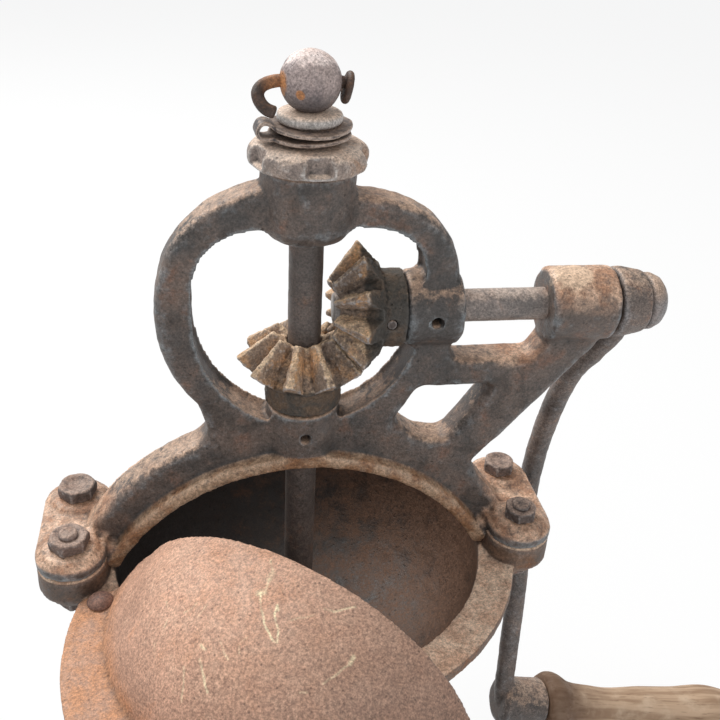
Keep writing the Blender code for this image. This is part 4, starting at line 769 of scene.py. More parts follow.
bolt_finish = iron("bolt_iron", dark=(86, 76, 72), brown=(120, 102, 94), rust=(138, 102, 84),
                   dust_and_top_light=(182, 156, 140), bare_and_sheen=(160, 154, 152), rusting=0.35, dusting_and_top_light=0.6, wear=0.55,
                   grain=0.0008, gloss=0.62, depth=0.0003)
for side, label in ((-1, "left"), (1, "right")):
    for y, place in ((EAR_BOLT_SPREAD, "rear"), (-EAR_BOLT_SPREAD, "front")):
        flats = BOLT_FLATS[label]
        turn = math.radians(HEX_TURN[label] + 30)
        if place == "rear":
            head_low = ear_top + JOINT_GAP
            nut_low = EAR_UNDER - NUT_HEIGHT
            head = hex_block(flats, head_low, BOLT_HEAD_HEIGHT, turn, 0.0011)
            stem = shank(BOLT_RADIUS, nut_low - THREAD_END, head_low + 0.001)
            nut = hex_block(flats, nut_low, NUT_HEIGHT, turn)
        else:
            head_low = EAR_UNDER - BOLT_HEAD_HEIGHT
            nut_low = ear_top + JOINT_GAP
            head = hex_block(flats, head_low, BOLT_HEAD_HEIGHT, turn)
            stem = shank(BOLT_RADIUS, head_low + 0.002, nut_low + NUT_HEIGHT + THREAD_END)
            nut = hex_block(flats, nut_low, NUT_HEIGHT, turn, 0.0005)
        for kind, shapes in (("bolt", [head, stem]), ("nut", [nut])):
            for shape in shapes:
                shifted(shape, side * EAR_X, y, RIM_Z)
            piece = cast(f"ear_{kind}_{place}_{label}_iron", shapes, bolt_finish, voxel=0.00040,
                         soften=2, swell=0.0004, lump=0.003)
            fit(piece, f"ear_{kind}_{place}_{label}")


# Foot. The third casting: the housing round the burrs, flaring into a skirt and a floor flange
# with four holes. A bridge across its underside carries the spindle's lower end.

NECK_Z = 0.082
HOUSING_TOP = NECK_Z - JOINT_GAP
BURR_SEAT = HOUSING_TOP - 0.0190 - JOINT_GAP
BURR_POCKET = 0.0260 + JOINT_GAP
HOUSING_RADIUS = BURR_POCKET + 0.0042
FOOT_RADIUS = 0.0680
FOOT_THICKNESS = 0.0060
FOOT_SKIRT = 0.0480
FOOT_WALL = 0.0045
SHELF_BORE = 0.0232
FLOOR_HOLES = 4
FLOOR_HOLE_RADIUS = 0.0037
FLOOR_HOLE_CIRCLE = 0.058
BRIDGE_HALF = (0.0455, 0.010)
BRIDGE_TOP = 0.009
BRIDGE_BOSS = (0.011, 0.004, 0.024)
foot_body = spun([
    (NECK_FLANGE_RADIUS, HOUSING_TOP), (NECK_FLANGE_RADIUS, HOUSING_TOP - 0.006),
    (HOUSING_RADIUS, HOUSING_TOP - 0.006), (HOUSING_RADIUS, BURR_SEAT - 0.002),
    (HOUSING_RADIUS + 0.0006, BURR_SEAT - 0.007), (HOUSING_RADIUS + 0.002, BURR_SEAT - 0.012),
    (HOUSING_RADIUS + 0.0058, BURR_SEAT - 0.026),
    (FOOT_SKIRT - 0.006, FOOT_THICKNESS + 0.010), (FOOT_SKIRT - 0.0035, FOOT_THICKNESS + 0.0045),
    (FOOT_SKIRT, FOOT_THICKNESS + 0.0015),
    (FOOT_RADIUS - 0.0015, FOOT_THICKNESS), (FOOT_RADIUS, FOOT_THICKNESS - 0.0015), (FOOT_RADIUS, 0),
    (FOOT_SKIRT - FOOT_WALL, 0), (FOOT_SKIRT - FOOT_WALL - 0.006, FOOT_THICKNESS + 0.010),
    (HOUSING_RADIUS + 0.002 - FOOT_WALL, BURR_SEAT - 0.012), (SHELF_BORE, BURR_SEAT - 0.0035),
    (SHELF_BORE, BURR_SEAT), (BURR_POCKET, BURR_SEAT), (BURR_POCKET, HOUSING_TOP),
], LARGE_ROUND)
floor_holes = []
for i in range(FLOOR_HOLES):
    hole = spun([(0, 0.02), (FLOOR_HOLE_RADIUS, 0.02), (FLOOR_HOLE_RADIUS, -0.01), (0, -0.01)], 32)
    angle = 2 * math.pi * (i + 0.5) / FLOOR_HOLES
    shifted(hole, FLOOR_HOLE_CIRCLE * math.cos(angle), FLOOR_HOLE_CIRCLE * math.sin(angle))
    floor_holes.append(hole)
bridge = block((-BRIDGE_HALF[0], -BRIDGE_HALF[1], 0), (*BRIDGE_HALF, BRIDGE_TOP))
radius, low, high = BRIDGE_BOSS
bridge_boss = spun([(0, high), (radius - 0.0008, high), (radius, high - 0.0008), (radius, low),
                    (0, low)], 64)
foot_shapes = [cut(foot_body, floor_holes), bridge, bridge_boss]
foot_finish = iron("foot_iron", dark=(82, 70, 62), brown=(108, 86, 72), rust=(124, 82, 54),
                   dust_and_top_light=(150, 124, 104), bare_and_sheen=(150, 138, 128), rusting=0.5, dusting_and_top_light=0.35, wear=0.45)
foot = cast("foot_casting", foot_shapes, foot_finish, voxel=0.0013, soften=3, swell=0.0006)
fit(foot, "foot")


def refine(node, material, voxel=0.0003, soften=2, swell=0.0002, lump=0.002):
    """A CAD node that keeps its shape, with a rough skin and its finish."""
    thing = frame["nodes"][node]
    thing.data.materials.clear()
    thing.data.materials.append(material)
    skin(thing, voxel, soften, swell, lump)


for number in (1, 2, 3):
    for kind in ("neck_bolt", "neck_nut"):
        refine(f"{kind}_{number}", bolt_finish, voxel=0.0004, swell=0.0003, lump=0.003)


# Burrs. A fixed toothed ring in the housing and a toothed cone pinned on the spindle, both of
# chilled iron. The nuts are ground between them, so they are greyer and oily.

burr_finish = iron("burr_iron", dark=(66, 60, 58), brown=(84, 72, 64), rust=(104, 72, 52),
                   dust_and_top_light=(120, 100, 84), bare_and_sheen=(140, 138, 138), rusting=0.3, dusting_and_top_light=0.2, wear=0.8,
                   gloss=0.45)
for burr in ("outer_burr", "inner_burr"):
    refine(burr, burr_finish, voxel=0.0006, swell=0.0003, lump=0.003)
refine("burr_pin", bolt_finish)


# Bevel gears. Two cast gears of ten straight teeth on 45 degree cones, each pinned through its hub.
# Dry rust lies orange on the flanks, painted shade is dark between the teeth, and the tips are worn grey
# with a painted sheen.


def gear_iron(name, hub_low, hub_high, axis):
    """Rusty teeth, and a darker hub.

    The darker hub ends between two heights on the gear's axis. The spindle gear's hub is its low end, and
    the crank gear's hub is its far end.
    """
    def darker_hub(f, colour, patch, crust):
        hub = f.spread(f.position(axis), hub_low, hub_high)
        if axis == 2:
            hub = f.maths("SUBTRACT", 1.0, hub)
        hub_dark_tone = f.blend(f.spread(patch, 0.40, 0.60), tone(62, 60, 56), tone(92, 78, 66))
        return f.blend(f.times(hub, 0.92), colour, hub_dark_tone)
    return iron(name, dark=(138, 120, 106), brown=(194, 162, 134), rust=(220, 170, 122),
                dust_and_top_light=(240, 208, 172), bare_and_sheen=(168, 162, 160), rusting=0.70, dusting_and_top_light=0.60, wear=0.85,
                grain=0.0008, gloss=0.60, depth=0.0007, soot=0.35, extra=darker_hub)


gear_finishes = {"spindle_gear": gear_iron("spindle_gear_iron", RIM_Z + 0.0715, RIM_Z + 0.0730, 2),
                 "crank_gear": gear_iron("crank_gear_iron", 0.0168, 0.0182, 0)}
for gear, gear_finish in gear_finishes.items():
    refine(gear, gear_finish, voxel=0.00042, soften=3, swell=0.0008, lump=0.0022)
    refine(f"{gear}_pin", bolt_finish)


# Spindle. A round steel bar from the foot's bridge up through both bosses, thinner where it enters
# the ball. It was drawn and turned, and is brown and dull all over.

SHAFT_RADIUS = 0.00535
SPINDLE_FOOT = 0.0080
BALL_FLAT = RIM_Z + 0.1571
SPINDLE_TIP = (0.0032, RIM_Z + 0.1683)
spindle_finish = iron("spindle_steel", dark=(84, 76, 72), brown=(108, 96, 90), rust=(128, 98, 80),
                      dust_and_top_light=(150, 126, 108), bare_and_sheen=(130, 124, 120), rusting=0.45, dusting_and_top_light=0.25, wear=0.3,
                      grain=0.0009, gloss=0.46, depth=0.00018, soot=0.3)


def turned_piece(name, profile, material, sides=SMALL_ROUND, swell=0.0002, lump=0.004):
    """A piece turned in a lathe, then worn slightly uneven."""
    thing = put(name, spun(profile, sides), material)
    roughen(thing, swell, lump)
    return frozen(thing, material)


def stepped(radius, low, high, step=0.002):
    """Points along a straight side, close enough together to show wear."""
    count = max(1, round((high - low) / step))
    return [(radius, low + (high - low) * i / count) for i in range(count + 1)]


spindle = turned_piece("spindle_bar", [
    (0, SPINDLE_FOOT), (SHAFT_RADIUS - 0.001, SPINDLE_FOOT),
    *stepped(SHAFT_RADIUS, SPINDLE_FOOT + 0.001, BALL_FLAT - 0.002),
    (SPINDLE_TIP[0], BALL_FLAT - 0.001), (SPINDLE_TIP[0], SPINDLE_TIP[1]), (0, SPINDLE_TIP[1]),
], spindle_finish)
fit(spindle, "spindle")


# Ball and locking wire. A turned iron ball stands on the spindle's end. A wire runs through it and the
# bar, with a flattened head on the right and its left end bent round and down beside the collar.

BALL_RADIUS = 0.0087
BALL_Z = RIM_Z + 0.1648
BALL_CUT = math.radians(152)
BALL_STEPS = 28
WIRE_RADIUS = 0.0018
WIRE_HEAD_RADIUS = 0.0046
WIRE_HEAD = Vector((0.0103, 0, BALL_Z - 0.0016))


def ball_stains(f, colour, patch, crust):
    """The ball is darker low down, with orange rust round the wire's hole and in one fleck in front."""
    hole = f.near((-BALL_RADIUS, -0.002, BALL_Z), 0.0062)
    fleck = f.near((-0.0035, -0.0075, BALL_Z - 0.0020), 0.0030)
    height = f.plus(f.position(2), f.times(patch, 0.006))
    darker_low = f.spread(height, BALL_Z - 0.0030, BALL_Z + 0.0050, 0.85, 0.0)
    colour = f.blend(darker_low, colour, tone(74, 70, 72))
    rusted = f.maths("MAXIMUM", f.spread(f.plus(patch, hole), 0.80, 1.10),
                     f.spread(f.plus(patch, fleck), 0.95, 1.20))
    return f.blend(rusted, colour, tone(186, 128, 82))


# The ball's dust tone is nearly white: dust and a painted highlight on its top.
ball_finish = iron("ball_iron", dark=(156, 140, 138), brown=(186, 168, 162), rust=(184, 144, 120),
                   dust_and_top_light=(246, 230, 224), bare_and_sheen=(184, 174, 172), rusting=0.35, dusting_and_top_light=0.85, wear=0.2,
                   grain=0.0008, gloss=0.50, depth=0.0003, soot=0.25, extra=ball_stains)
ball_line = [(0, BALL_Z + BALL_RADIUS)]
for step in range(1, BALL_STEPS + 1):
    angle = BALL_CUT * step / BALL_STEPS
    ball_line.append((BALL_RADIUS * math.sin(angle), BALL_Z + BALL_RADIUS * math.cos(angle)))
ball_line.append((0, BALL_Z + BALL_RADIUS * math.cos(BALL_CUT)))
ball = turned_piece("ball_iron_knob", ball_line, ball_finish, 64, 0.0003, 0.003)
fit(ball, "ball_knob")


def smooth_line(points, steps=6):
    """Points on a smooth curve through the given ones."""
    points = [Vector(p) for p in points]
    ends = [points[0] * 2 - points[1], *points, points[-1] * 2 - points[-2]]
    line = []
    for i in range(1, len(ends) - 2):
        before, here, there, after = ends[i - 1:i + 3]
        for k in range(steps):
            t = k / steps
            line.append(0.5 * (2 * here + (there - before) * t
                               + (2 * before - 5 * here + 4 * there - after) * t ** 2
                               + (3 * here - before - 3 * there + after) * t ** 3))
    line.append(points[-1])
    return line


def drawn_bar(line, radius, sides=24):
    """A round bar along a line of points, with eased ends."""
    rings = []
    side = Vector((0, 1, 0))
    last = len(line) - 1
    for i, here in enumerate(line):
        ahead = (line[min(i + 1, last)] - line[max(i - 1, 0)]).normalized()
        side = (side - ahead * side.dot(ahead)).normalized()
        across = ahead.cross(side)
        size = radius * (0.82 if i in (0, last) else 1.0)
        turns = [2 * math.pi * k / sides for k in range(sides)]
        rings.append([here + (side * math.cos(turn) + across * math.sin(turn)) * size for turn in turns])
    return skinned("bar", rings)


def wire_brown(f, colour, patch, crust):
    """The wire is orange beside the ball and darker at its bent end."""
    beside = f.near((-0.0105, 0, BALL_Z), 0.0055)
    return f.blend(f.times(beside, 0.9), colour, tone(186, 128, 84))


wire_finish = iron("wire_iron", dark=(66, 52, 46), brown=(88, 64, 52), rust=(134, 88, 56),
                   dust_and_top_light=(140, 106, 80), bare_and_sheen=(112, 98, 90), rusting=0.5, dusting_and_top_light=0.3, wear=0.3,
                   grain=0.0007, gloss=0.6, depth=0.0002, extra=wire_brown)
wire = drawn_bar([point + Vector((0, 0, BALL_Z)) for point in smooth_line([
    (0.0097, 0, 0), (0, 0, 0), (-0.0087, 0, 0), (-0.0130, -0.0006, -0.0010),
    (-0.0147, -0.0020, -0.0028), (-0.0143, -0.0038, -0.0048), (-0.0126, -0.0054, -0.0064),
    (-0.0102, -0.0062, -0.0072),
])], WIRE_RADIUS)
wire_head = spun([
    (0, 0.0010), (WIRE_HEAD_RADIUS - 0.0006, 0.0010), (WIRE_HEAD_RADIUS, 0.0004),
    (WIRE_HEAD_RADIUS, -0.0004), (WIRE_HEAD_RADIUS - 0.0006, -0.0010), (0, -0.0010)])
wire_head.transform(Matrix.Translation(WIRE_HEAD) @ Matrix.Rotation(math.radians(102), 4, "Y"))
hook = cast("hook_wire_iron", [wire, wire_head], wire_finish, voxel=0.00035, soften=2,
            swell=0.0002, lump=0.003)
fit(hook, "hook_wire")


# Adjuster. A cast wheel nut with five broad lobes sets the burrs: it turns on a threaded steel sleeve,
# whose collar carries the ball. A spring of folded sheet under the collar keeps it where it is set.

WHEEL_LOW = RIM_Z + 0.1415
WHEEL_RADIUS = 0.0177
WHEEL_NOTCH = 0.0152
WHEEL_LOBES = 5
WHEEL_TURN = math.radians(-86)
WHEEL_NOTCH_HALF = math.radians(12)
WHEEL_NOTCH_EASE = 0.055
WHEEL_POINTS = 300
CLIP_LOW = RIM_Z + 0.1494
CLIP_HIGH = RIM_Z + 0.1535
CLIP_SHEET = 0.0011
CLIP_RADIUS = 0.0125
LEAF_RINGS = 9
LEAF_POINTS = 96
FOLD_FORWARD = -0.0022
FOLD_HALF = 0.0032
FOLD_WAY = math.radians(-176)
COLLAR = (0.0094, RIM_Z + 0.1538, RIM_Z + 0.1568)
SLEEVE_RADIUS = 0.0082
SLEEVE_LOW = RIM_Z + 0.1238


def wheel_mesh():
    """The wheel nut from below up: each level is a share of its radius, a height and its notches' share."""
    levels = [(0.90, 0.0000, 0.0), (0.955, 0.0003, 0.0), (0.985, 0.0008, 0.15), (0.99, 0.0014, 0.6),
              (1.0, 0.0020, 1.0), (1.0, 0.0032, 1.0), (0.985, 0.0042, 1.0), (0.95, 0.0052, 1.0),
              (0.90, 0.0060, 1.0), (0.83, 0.0066, 0.9)]
    half_lobe = math.pi / WHEEL_LOBES
    rings = []
    for share, up, notched in levels:
        ring = []
        for step in range(WHEEL_POINTS):
            angle = 2 * math.pi * step / WHEEL_POINTS
            off = abs((angle - WHEEL_TURN + half_lobe) % (2 * half_lobe) - half_lobe)
            dip = (WHEEL_NOTCH_HALF + WHEEL_NOTCH_EASE - off) / (2 * WHEEL_NOTCH_EASE)
            dip = min(1.0, max(0.0, dip))
            dip = dip * dip * (3 - 2 * dip)
            radius = WHEEL_RADIUS * share
            radius -= max(0.0, radius - WHEEL_NOTCH) * dip * notched
            ring.append((radius * math.cos(angle), radius * math.sin(angle), WHEEL_LOW + up))
        rings.append(ring)
    return skinned("wheel", rings)


wheel_finish = iron("wheel_iron", dark=(132, 120, 114), brown=(176, 158, 146), rust=(176, 138, 110),
                    dust_and_top_light=(234, 210, 190), bare_and_sheen=(206, 202, 198), rusting=0.4, dusting_and_top_light=0.80, wear=0.7,
                    grain=0.0009, gloss=0.52, soot=0.35)
wheel = cast("adjuster_wheel_iron", [wheel_mesh()], wheel_finish, voxel=0.00045, soften=2,
             swell=0.0005, lump=0.004)
fit(wheel, "adjuster_wheel")

radius, low, high = COLLAR
sleeve = turned_piece("thrust_sleeve_steel", [
    (0, high), (radius - 0.0012, high), (radius - 0.0004, high - 0.0004), (radius, high - 0.0011),
    (radius, low + 0.0006), (radius - 0.0005, low), *stepped(SLEEVE_RADIUS, low, SLEEVE_LOW, 0.004),
    (0, SLEEVE_LOW),
], wheel_finish, swell=0.0003, lump=0.003)
fit(sleeve, "thrust_sleeve")


def leaf(height, radius, wave, turn):
    """A round leaf of thin sheet, waved as it was hammered: its underside outwards, then its top inwards."""
    outwards = range(1, LEAF_RINGS + 1)
    rings = []
    for face, shares in ((-1, outwards), (1, reversed(outwards))):
        for share in shares:
            ring = []
            for step in range(LEAF_POINTS):
                angle = 2 * math.pi * step / LEAF_POINTS
                reach = radius * share / LEAF_RINGS * (1 + 0.018 * math.sin(3 * angle + turn))
                lift = wave * (share / LEAF_RINGS) ** 2 * math.sin(2 * angle + turn)
                ring.append((reach * math.cos(angle), reach * math.sin(angle),
                             height + lift + face * CLIP_SHEET / 2))
            rings.append(ring)
    return skinned("leaf", rings)


def fold():
    """The strip that joins the two leaves: out, over, down and back under."""
    line = [(0.0080, 0.0032), (0.0105, 0.0038), (0.0124, 0.0050), (0.0142, 0.0048), (0.0152, 0.0032),
            (0.0152, 0.0019), (0.0142, 0.0009), (0.0122, 0.0007), (0.0085, 0.0009)]
    curve = smooth_line([(out, 0, CLIP_LOW + up) for out, up in line], 5)
    last = len(curve) - 1
    half = Vector((0, FOLD_HALF, 0))
    rings = []
    for i, here in enumerate(curve):
        ahead = (curve[min(i + 1, last)] - curve[max(i - 1, 0)]).normalized()
        out = Vector((-ahead.z, 0, ahead.x)) * (CLIP_SHEET / 2)
        rings.append([here + out - half, here + out + half, here - out + half, here - out - half])
    strip = skinned("fold", rings)
    strip.transform(Matrix.Translation((0, FOLD_FORWARD, 0)) @ Matrix.Rotation(FOLD_WAY, 4, "Z"))
    return strip


clip_finish = iron("clip_steel", dark=(70, 66, 68), brown=(104, 92, 88), rust=(128, 98, 80),
                   dust_and_top_light=(176, 152, 134), bare_and_sheen=(196, 176, 162), rusting=0.35, dusting_and_top_light=0.5, wear=0.9,
                   grain=0.0008, gloss=0.48, depth=0.0002, soot=0.45)
clip = cast("spring_clip_sheet", [leaf(CLIP_HIGH - 0.0009, CLIP_RADIUS - 0.0003, 0.0004, 0.9),
                                  leaf(CLIP_LOW + 0.0008, CLIP_RADIUS - 0.0006, 0.0003, 2.6),
                                  fold()],
            clip_finish, voxel=0.00032, soften=2, swell=0.0003, lump=0.004)
fit(clip, "spring_clip")
refine("guide_screw", bolt_finish)


# Crank. A steel shaft in the bracket's two bosses, with the upper gear on its inner end. Outside, a
# forged round arm hangs from its eye, held by a domed nut, and ends in a boss for the handle's rod.

SHAFT_Z = RIM_Z + AXIS_UP
EYE_X = 0.1026
EYE_END = 0.1135
EYE_RADIUS = 0.0119
END_NUT_X = 0.1138
END_NUT_END = 0.1203
END_NUT_RADIUS = 0.0096
BAR_RADIUS = 0.0042
HANDLE = Vector((0.0955, 0.0055, SHAFT_Z - 0.2065))
HANDLE_BOSS_RADIUS = 0.0106
HANDLE_BOSS_BACK = -0.0026
HANDLE_BOSS_FRONT = 0.0189
GRIP_TILT = math.radians(12)
SHAFT_START = 0.0089
THREAD_RADIUS = SHAFT_RADIUS - 0.0006
THREAD_TIP = 0.1183
to_grip = Matrix.Translation(HANDLE) @ Matrix.Rotation(math.radians(90) + GRIP_TILT, 4, "Y")

crank_line = [
    (0, SHAFT_START), (THREAD_RADIUS, SHAFT_START),
    *stepped(SHAFT_RADIUS, SHAFT_START + 0.0006, EYE_END - 0.001),
    (THREAD_RADIUS, EYE_END), (THREAD_RADIUS, THREAD_TIP), (0, THREAD_TIP),
]
shaft_finish = iron("shaft_steel", dark=(120, 112, 108), brown=(162, 148, 140), rust=(156, 120, 98),
                    dust_and_top_light=(204, 184, 170), bare_and_sheen=(184, 180, 178), rusting=0.40, dusting_and_top_light=0.60, wear=0.4,
                    grain=0.0009, gloss=0.42, depth=0.00018, soot=0.2)
crank_shaft = turned_piece("crank_shaft_bar", crank_line, shaft_finish)
shaft_lie = Matrix.Translation((0, 0, SHAFT_Z)) @ Matrix.Rotation(math.radians(90), 4, "Y")
crank_shaft.data.transform(shaft_lie)
fit(crank_shaft, "crank_shaft")

eye = spun([(0, EYE_END), (EYE_RADIUS - 0.0022, EYE_END), (EYE_RADIUS - 0.0015, EYE_END - 0.0008),
            (EYE_RADIUS, EYE_END - 0.0080), (EYE_RADIUS, EYE_X + 0.0008), (EYE_RADIUS - 0.0008, EYE_X),
            (0, EYE_X)], 72)
eye.transform(shaft_lie)
arm = drawn_bar(smooth_line([
    (0.1078, 0, SHAFT_Z - 0.0040), (0.1068, 0.0020, SHAFT_Z - 0.0130), (0.1030, 0.0060, SHAFT_Z - 0.0230),
    (0.0990, 0.0115, SHAFT_Z - 0.0360), (0.0970, 0.0185, SHAFT_Z - 0.0620),
    (0.0965, 0.0225, SHAFT_Z - 0.0900), (0.0965, 0.0210, SHAFT_Z - 0.1120),
    (0.0965, 0.0160, SHAFT_Z - 0.1400), (0.0960, 0.0110, SHAFT_Z - 0.1700), HANDLE,
]), BAR_RADIUS, 28)
handle_boss = spun([
    (0, HANDLE_BOSS_FRONT), (HANDLE_BOSS_RADIUS - 0.001, HANDLE_BOSS_FRONT),
    (HANDLE_BOSS_RADIUS, HANDLE_BOSS_FRONT - 0.001), (HANDLE_BOSS_RADIUS, HANDLE_BOSS_BACK + 0.002),
    (HANDLE_BOSS_RADIUS - 0.002, HANDLE_BOSS_BACK), (0, HANDLE_BOSS_BACK)], 72)
handle_boss.transform(to_grip)
arm_finish = iron("arm_iron", dark=(88, 80, 76), brown=(124, 110, 102), rust=(142, 106, 84),
                  dust_and_top_light=(200, 172, 150), bare_and_sheen=(150, 150, 152), rusting=0.38, dusting_and_top_light=0.55, wear=0.6,
                  grain=0.0010, gloss=0.48, depth=0.0003, soot=0.45)
crank_arm = cast("crank_arm_iron", [eye, arm, handle_boss], arm_finish, voxel=0.0008, soften=4,
                 swell=0.0005, lump=0.005)
fit(crank_arm, "crank_arm")

end_nut = turned_piece("crank_end_nut_iron", [
    (0, END_NUT_END), (END_NUT_RADIUS - 0.0042, END_NUT_END),
    (END_NUT_RADIUS - 0.0030, END_NUT_END - 0.0004), (END_NUT_RADIUS - 0.0012, END_NUT_END - 0.0019),
    *stepped(END_NUT_RADIUS, END_NUT_END - 0.0045, END_NUT_X, 0.001), (0, END_NUT_X),
], arm_finish, swell=0.0003)
end_nut.data.transform(shaft_lie)
fit(end_nut, "crank_end_nut")


# Handle. A turned wooden grip, loose on an iron rod that is riveted in the arm's boss, with a washer
# at its far end. The wood is dry and tan, with its grain lengthwise and dirt worked in at the collar.

GRIP_START = HANDLE_BOSS_FRONT + JOINT_GAP
GRIP_LENGTH = 0.108
GRIP_BORE = 0.0035
ROD_RADIUS = 0.0032
ROD_START = HANDLE_BOSS_BACK + 0.0053
RIVETED_END = 0.0016
WASHER_RADIUS = 0.0070
WASHER_THICKNESS = 0.0015
WASHER_BORE = 0.0034
grip_form = [(0.000, 0.0121), (0.003, 0.0136), (0.007, 0.0130), (0.014, 0.0096), (0.025, 0.0084),
             (0.036, 0.0078), (0.052, 0.0092), (0.070, 0.0099), (0.086, 0.0115), (0.098, 0.0101),
             (0.105, 0.0065), (GRIP_LENGTH, 0.0039)]
grip_curve = smooth_line([(radius, GRIP_START + along, 0) for along, radius in grip_form], 6)


def grip_wood():
    """Dry hardwood: fine streaks along the grip, pale where it is worn, dark stain towards the arm."""
    f = Finish("grip_wood")
    lie = f.node("ShaderNodeMapping")
    from_lathe = to_grip.inverted()
    f.feed(lie.inputs["Vector"], f.where["Object"])
    lie.inputs["Location"].default_value = from_lathe.translation
    lie.inputs["Rotation"].default_value = from_lathe.to_euler()
    f.where = {"Object": lie.outputs[0]}
    along = f.stretched((1, 1, 0.06))
    streak = f.mottle(0.0011, 4.0, 0.6, along)
    band = f.mottle(0.0042, 3.0, 0.5, along, 0.6)
    cloud = f.mottle(0.012, 4.0, 0.6)
    pores = f.pits(0.0012, f.stretched((1, 1, 0.10)))
    colour = f.blend(f.spread(band, 0.35, 0.65), tone(160, 130, 104), tone(202, 172, 144))
    colour = f.blend(f.times(f.spread(streak, 0.52, 0.72), 0.6), colour, tone(124, 96, 74))
    colour = f.blend(f.times(f.spread(cloud, 0.50, 0.72), 0.5), colour, tone(222, 198, 172))
    reach = f.plus(f.position(2), f.times(cloud, 0.03))
    stained = f.spread(reach, GRIP_START + 0.022, GRIP_START + 0.050, 0.75, 0.0)
    colour = f.blend(stained, colour, tone(92, 66, 50))
    dark_pore = f.times(f.spread(pores, 0.0, 0.16, 1.0, 0.0), 0.5)
    colour = f.blend(dark_pore, colour, tone(70, 50, 38))
    height = f.plus(f.times(streak, 0.7), f.times(f.spread(pores, 0.0, 0.2), 0.5))
    rough = f.spread(streak, 0.3, 0.7, 0.55, 0.78)
    return f.finish(colour, rough, height, 0.00022, specular=0.35)


grip_end = GRIP_START + GRIP_LENGTH
grip_profile = [(GRIP_BORE, GRIP_START), *[tuple(point.xy) for point in grip_curve], (GRIP_BORE, grip_end)]
grip = turned_piece("grip_turned_wood", grip_profile, grip_wood(), 72, 0.0003, 0.010)
washer_low = grip_end + JOINT_GAP
washer_top = washer_low + WASHER_THICKNESS
rod_end = washer_top + RIVETED_END
rod = turned_piece("grip_rod_steel", [
    (0, rod_end), (ROD_RADIUS - 0.0009, rod_end), (ROD_RADIUS - 0.0002, rod_end - 0.0005),
    *stepped(ROD_RADIUS, rod_end - 0.0012, ROD_START, 0.004), (0, ROD_START),
], shaft_finish)
washer = turned_piece("grip_washer_iron", [
    (WASHER_BORE, washer_top), (WASHER_RADIUS - 0.0006, washer_top), (WASHER_RADIUS, washer_top - 0.0006),
    (WASHER_RADIUS, washer_low + 0.0004), (WASHER_RADIUS - 0.0004, washer_low), (WASHER_BORE, washer_low),
], bolt_finish, swell=0.0001)
for piece in (grip, rod, washer):
    piece.data.transform(to_grip)
fit(grip, "grip")
fit(rod, "grip_rod")
fit(washer, "grip_washer")


# Lid. A thin half dome with a flat flange, cast in one and cut back round the ears. It swings
# sideways on one rivet in the hopper's rim. Its skin is the finest of the castings, pale reddish
# brown with a grain like orange peel, and scratched where hands and tools slid over it.

LID_SHEET = 0.0022
LID_LOW = RIM_Z + JOINT_GAP
LID_PIVOT = Vector((-0.0684, -0.0288, 0))
LID_OPEN = math.radians(39)
LID_STOP = math.radians(51)
LID_BACK = 0.0132
LID_BEND = 0.0618
LID_HEIGHT = 0.0410
LID_FLANGE = 0.0813
LID_EAR_GAP = 0.0015
LID_STEPS = 32
LID_LEAN = 0.0022
LID_FLARE = 0.0085
FLARE_HEIGHT = 0.015
SCRATCH_TONE = tone(240, 222, 184)
lid_top = LID_LOW + LID_SHEET


def about_rivet(angle):
    """The lid's swing by an angle, counter-clockwise from above."""
    return Matrix.Translation(LID_PIVOT) @ Matrix.Rotation(angle, 4, "Z") @ Matrix.Translation(-LID_PIVOT)


def dome_line(radius, foot):
    """A quarter of an ellipse, from the dome's crown down to its foot."""
    angles = [math.pi / 2 * step / LID_STEPS for step in range(LID_STEPS + 1)]
    return [(radius * math.sin(angle), foot + LID_HEIGHT * math.cos(angle)) for angle in angles]


opened = about_rivet(-LID_OPEN)
lid_line = [*dome_line(LID_BEND, lid_top), (LID_FLANGE, lid_top), (LID_FLANGE, LID_LOW),
            *reversed(dome_line(LID_BEND - LID_SHEET, LID_LOW))]

# Its back is cut off straight, and it is cut back round both ears, and round the left ear in the places
# that the ear takes as the lid swings past it.
ear_cut = (RIM_Z - 0.010, RIM_Z + 0.020)
lid_cuts = [block((-0.2, -LID_BACK, RIM_Z - 0.05), (0.2, 0.2, RIM_Z + 0.15))]
for side in (-1, 1):
    lid_cuts.append(slab(ear_outline(side, LID_EAR_GAP), *ear_cut))
for share in (1 / 3, 2 / 3, 1):
    passing = slab(ear_outline(-1, LID_EAR_GAP), *ear_cut)
    passing.transform(about_rivet(LID_STOP * share))
    lid_cuts.append(passing)

# The dome leans to the left and spreads at its foot, most at its left corner.
lid_form = spun(lid_line, LARGE_ROUND)
for vertex in lid_form.vertices:
    x, y, z = vertex.co
    reach = math.hypot(x, y)
    height = max(0.0, z - lid_top)
    if reach < LID_BEND + 0.001:
        flare = 0.0015 + LID_FLARE * max(0.0, (-x - 0.018) / 0.044) ** 1.3
        flare *= max(0.0, 1 - height / FLARE_HEIGHT) ** 1.3
        grow = 1 + flare / reach if reach > 0.03 else 1.0
        lean = LID_LEAN * min(1.0, height / 0.012)
        vertex.co = (x * grow - lean, y * grow, z)
lid_shell = cut(lid_form, lid_cuts)

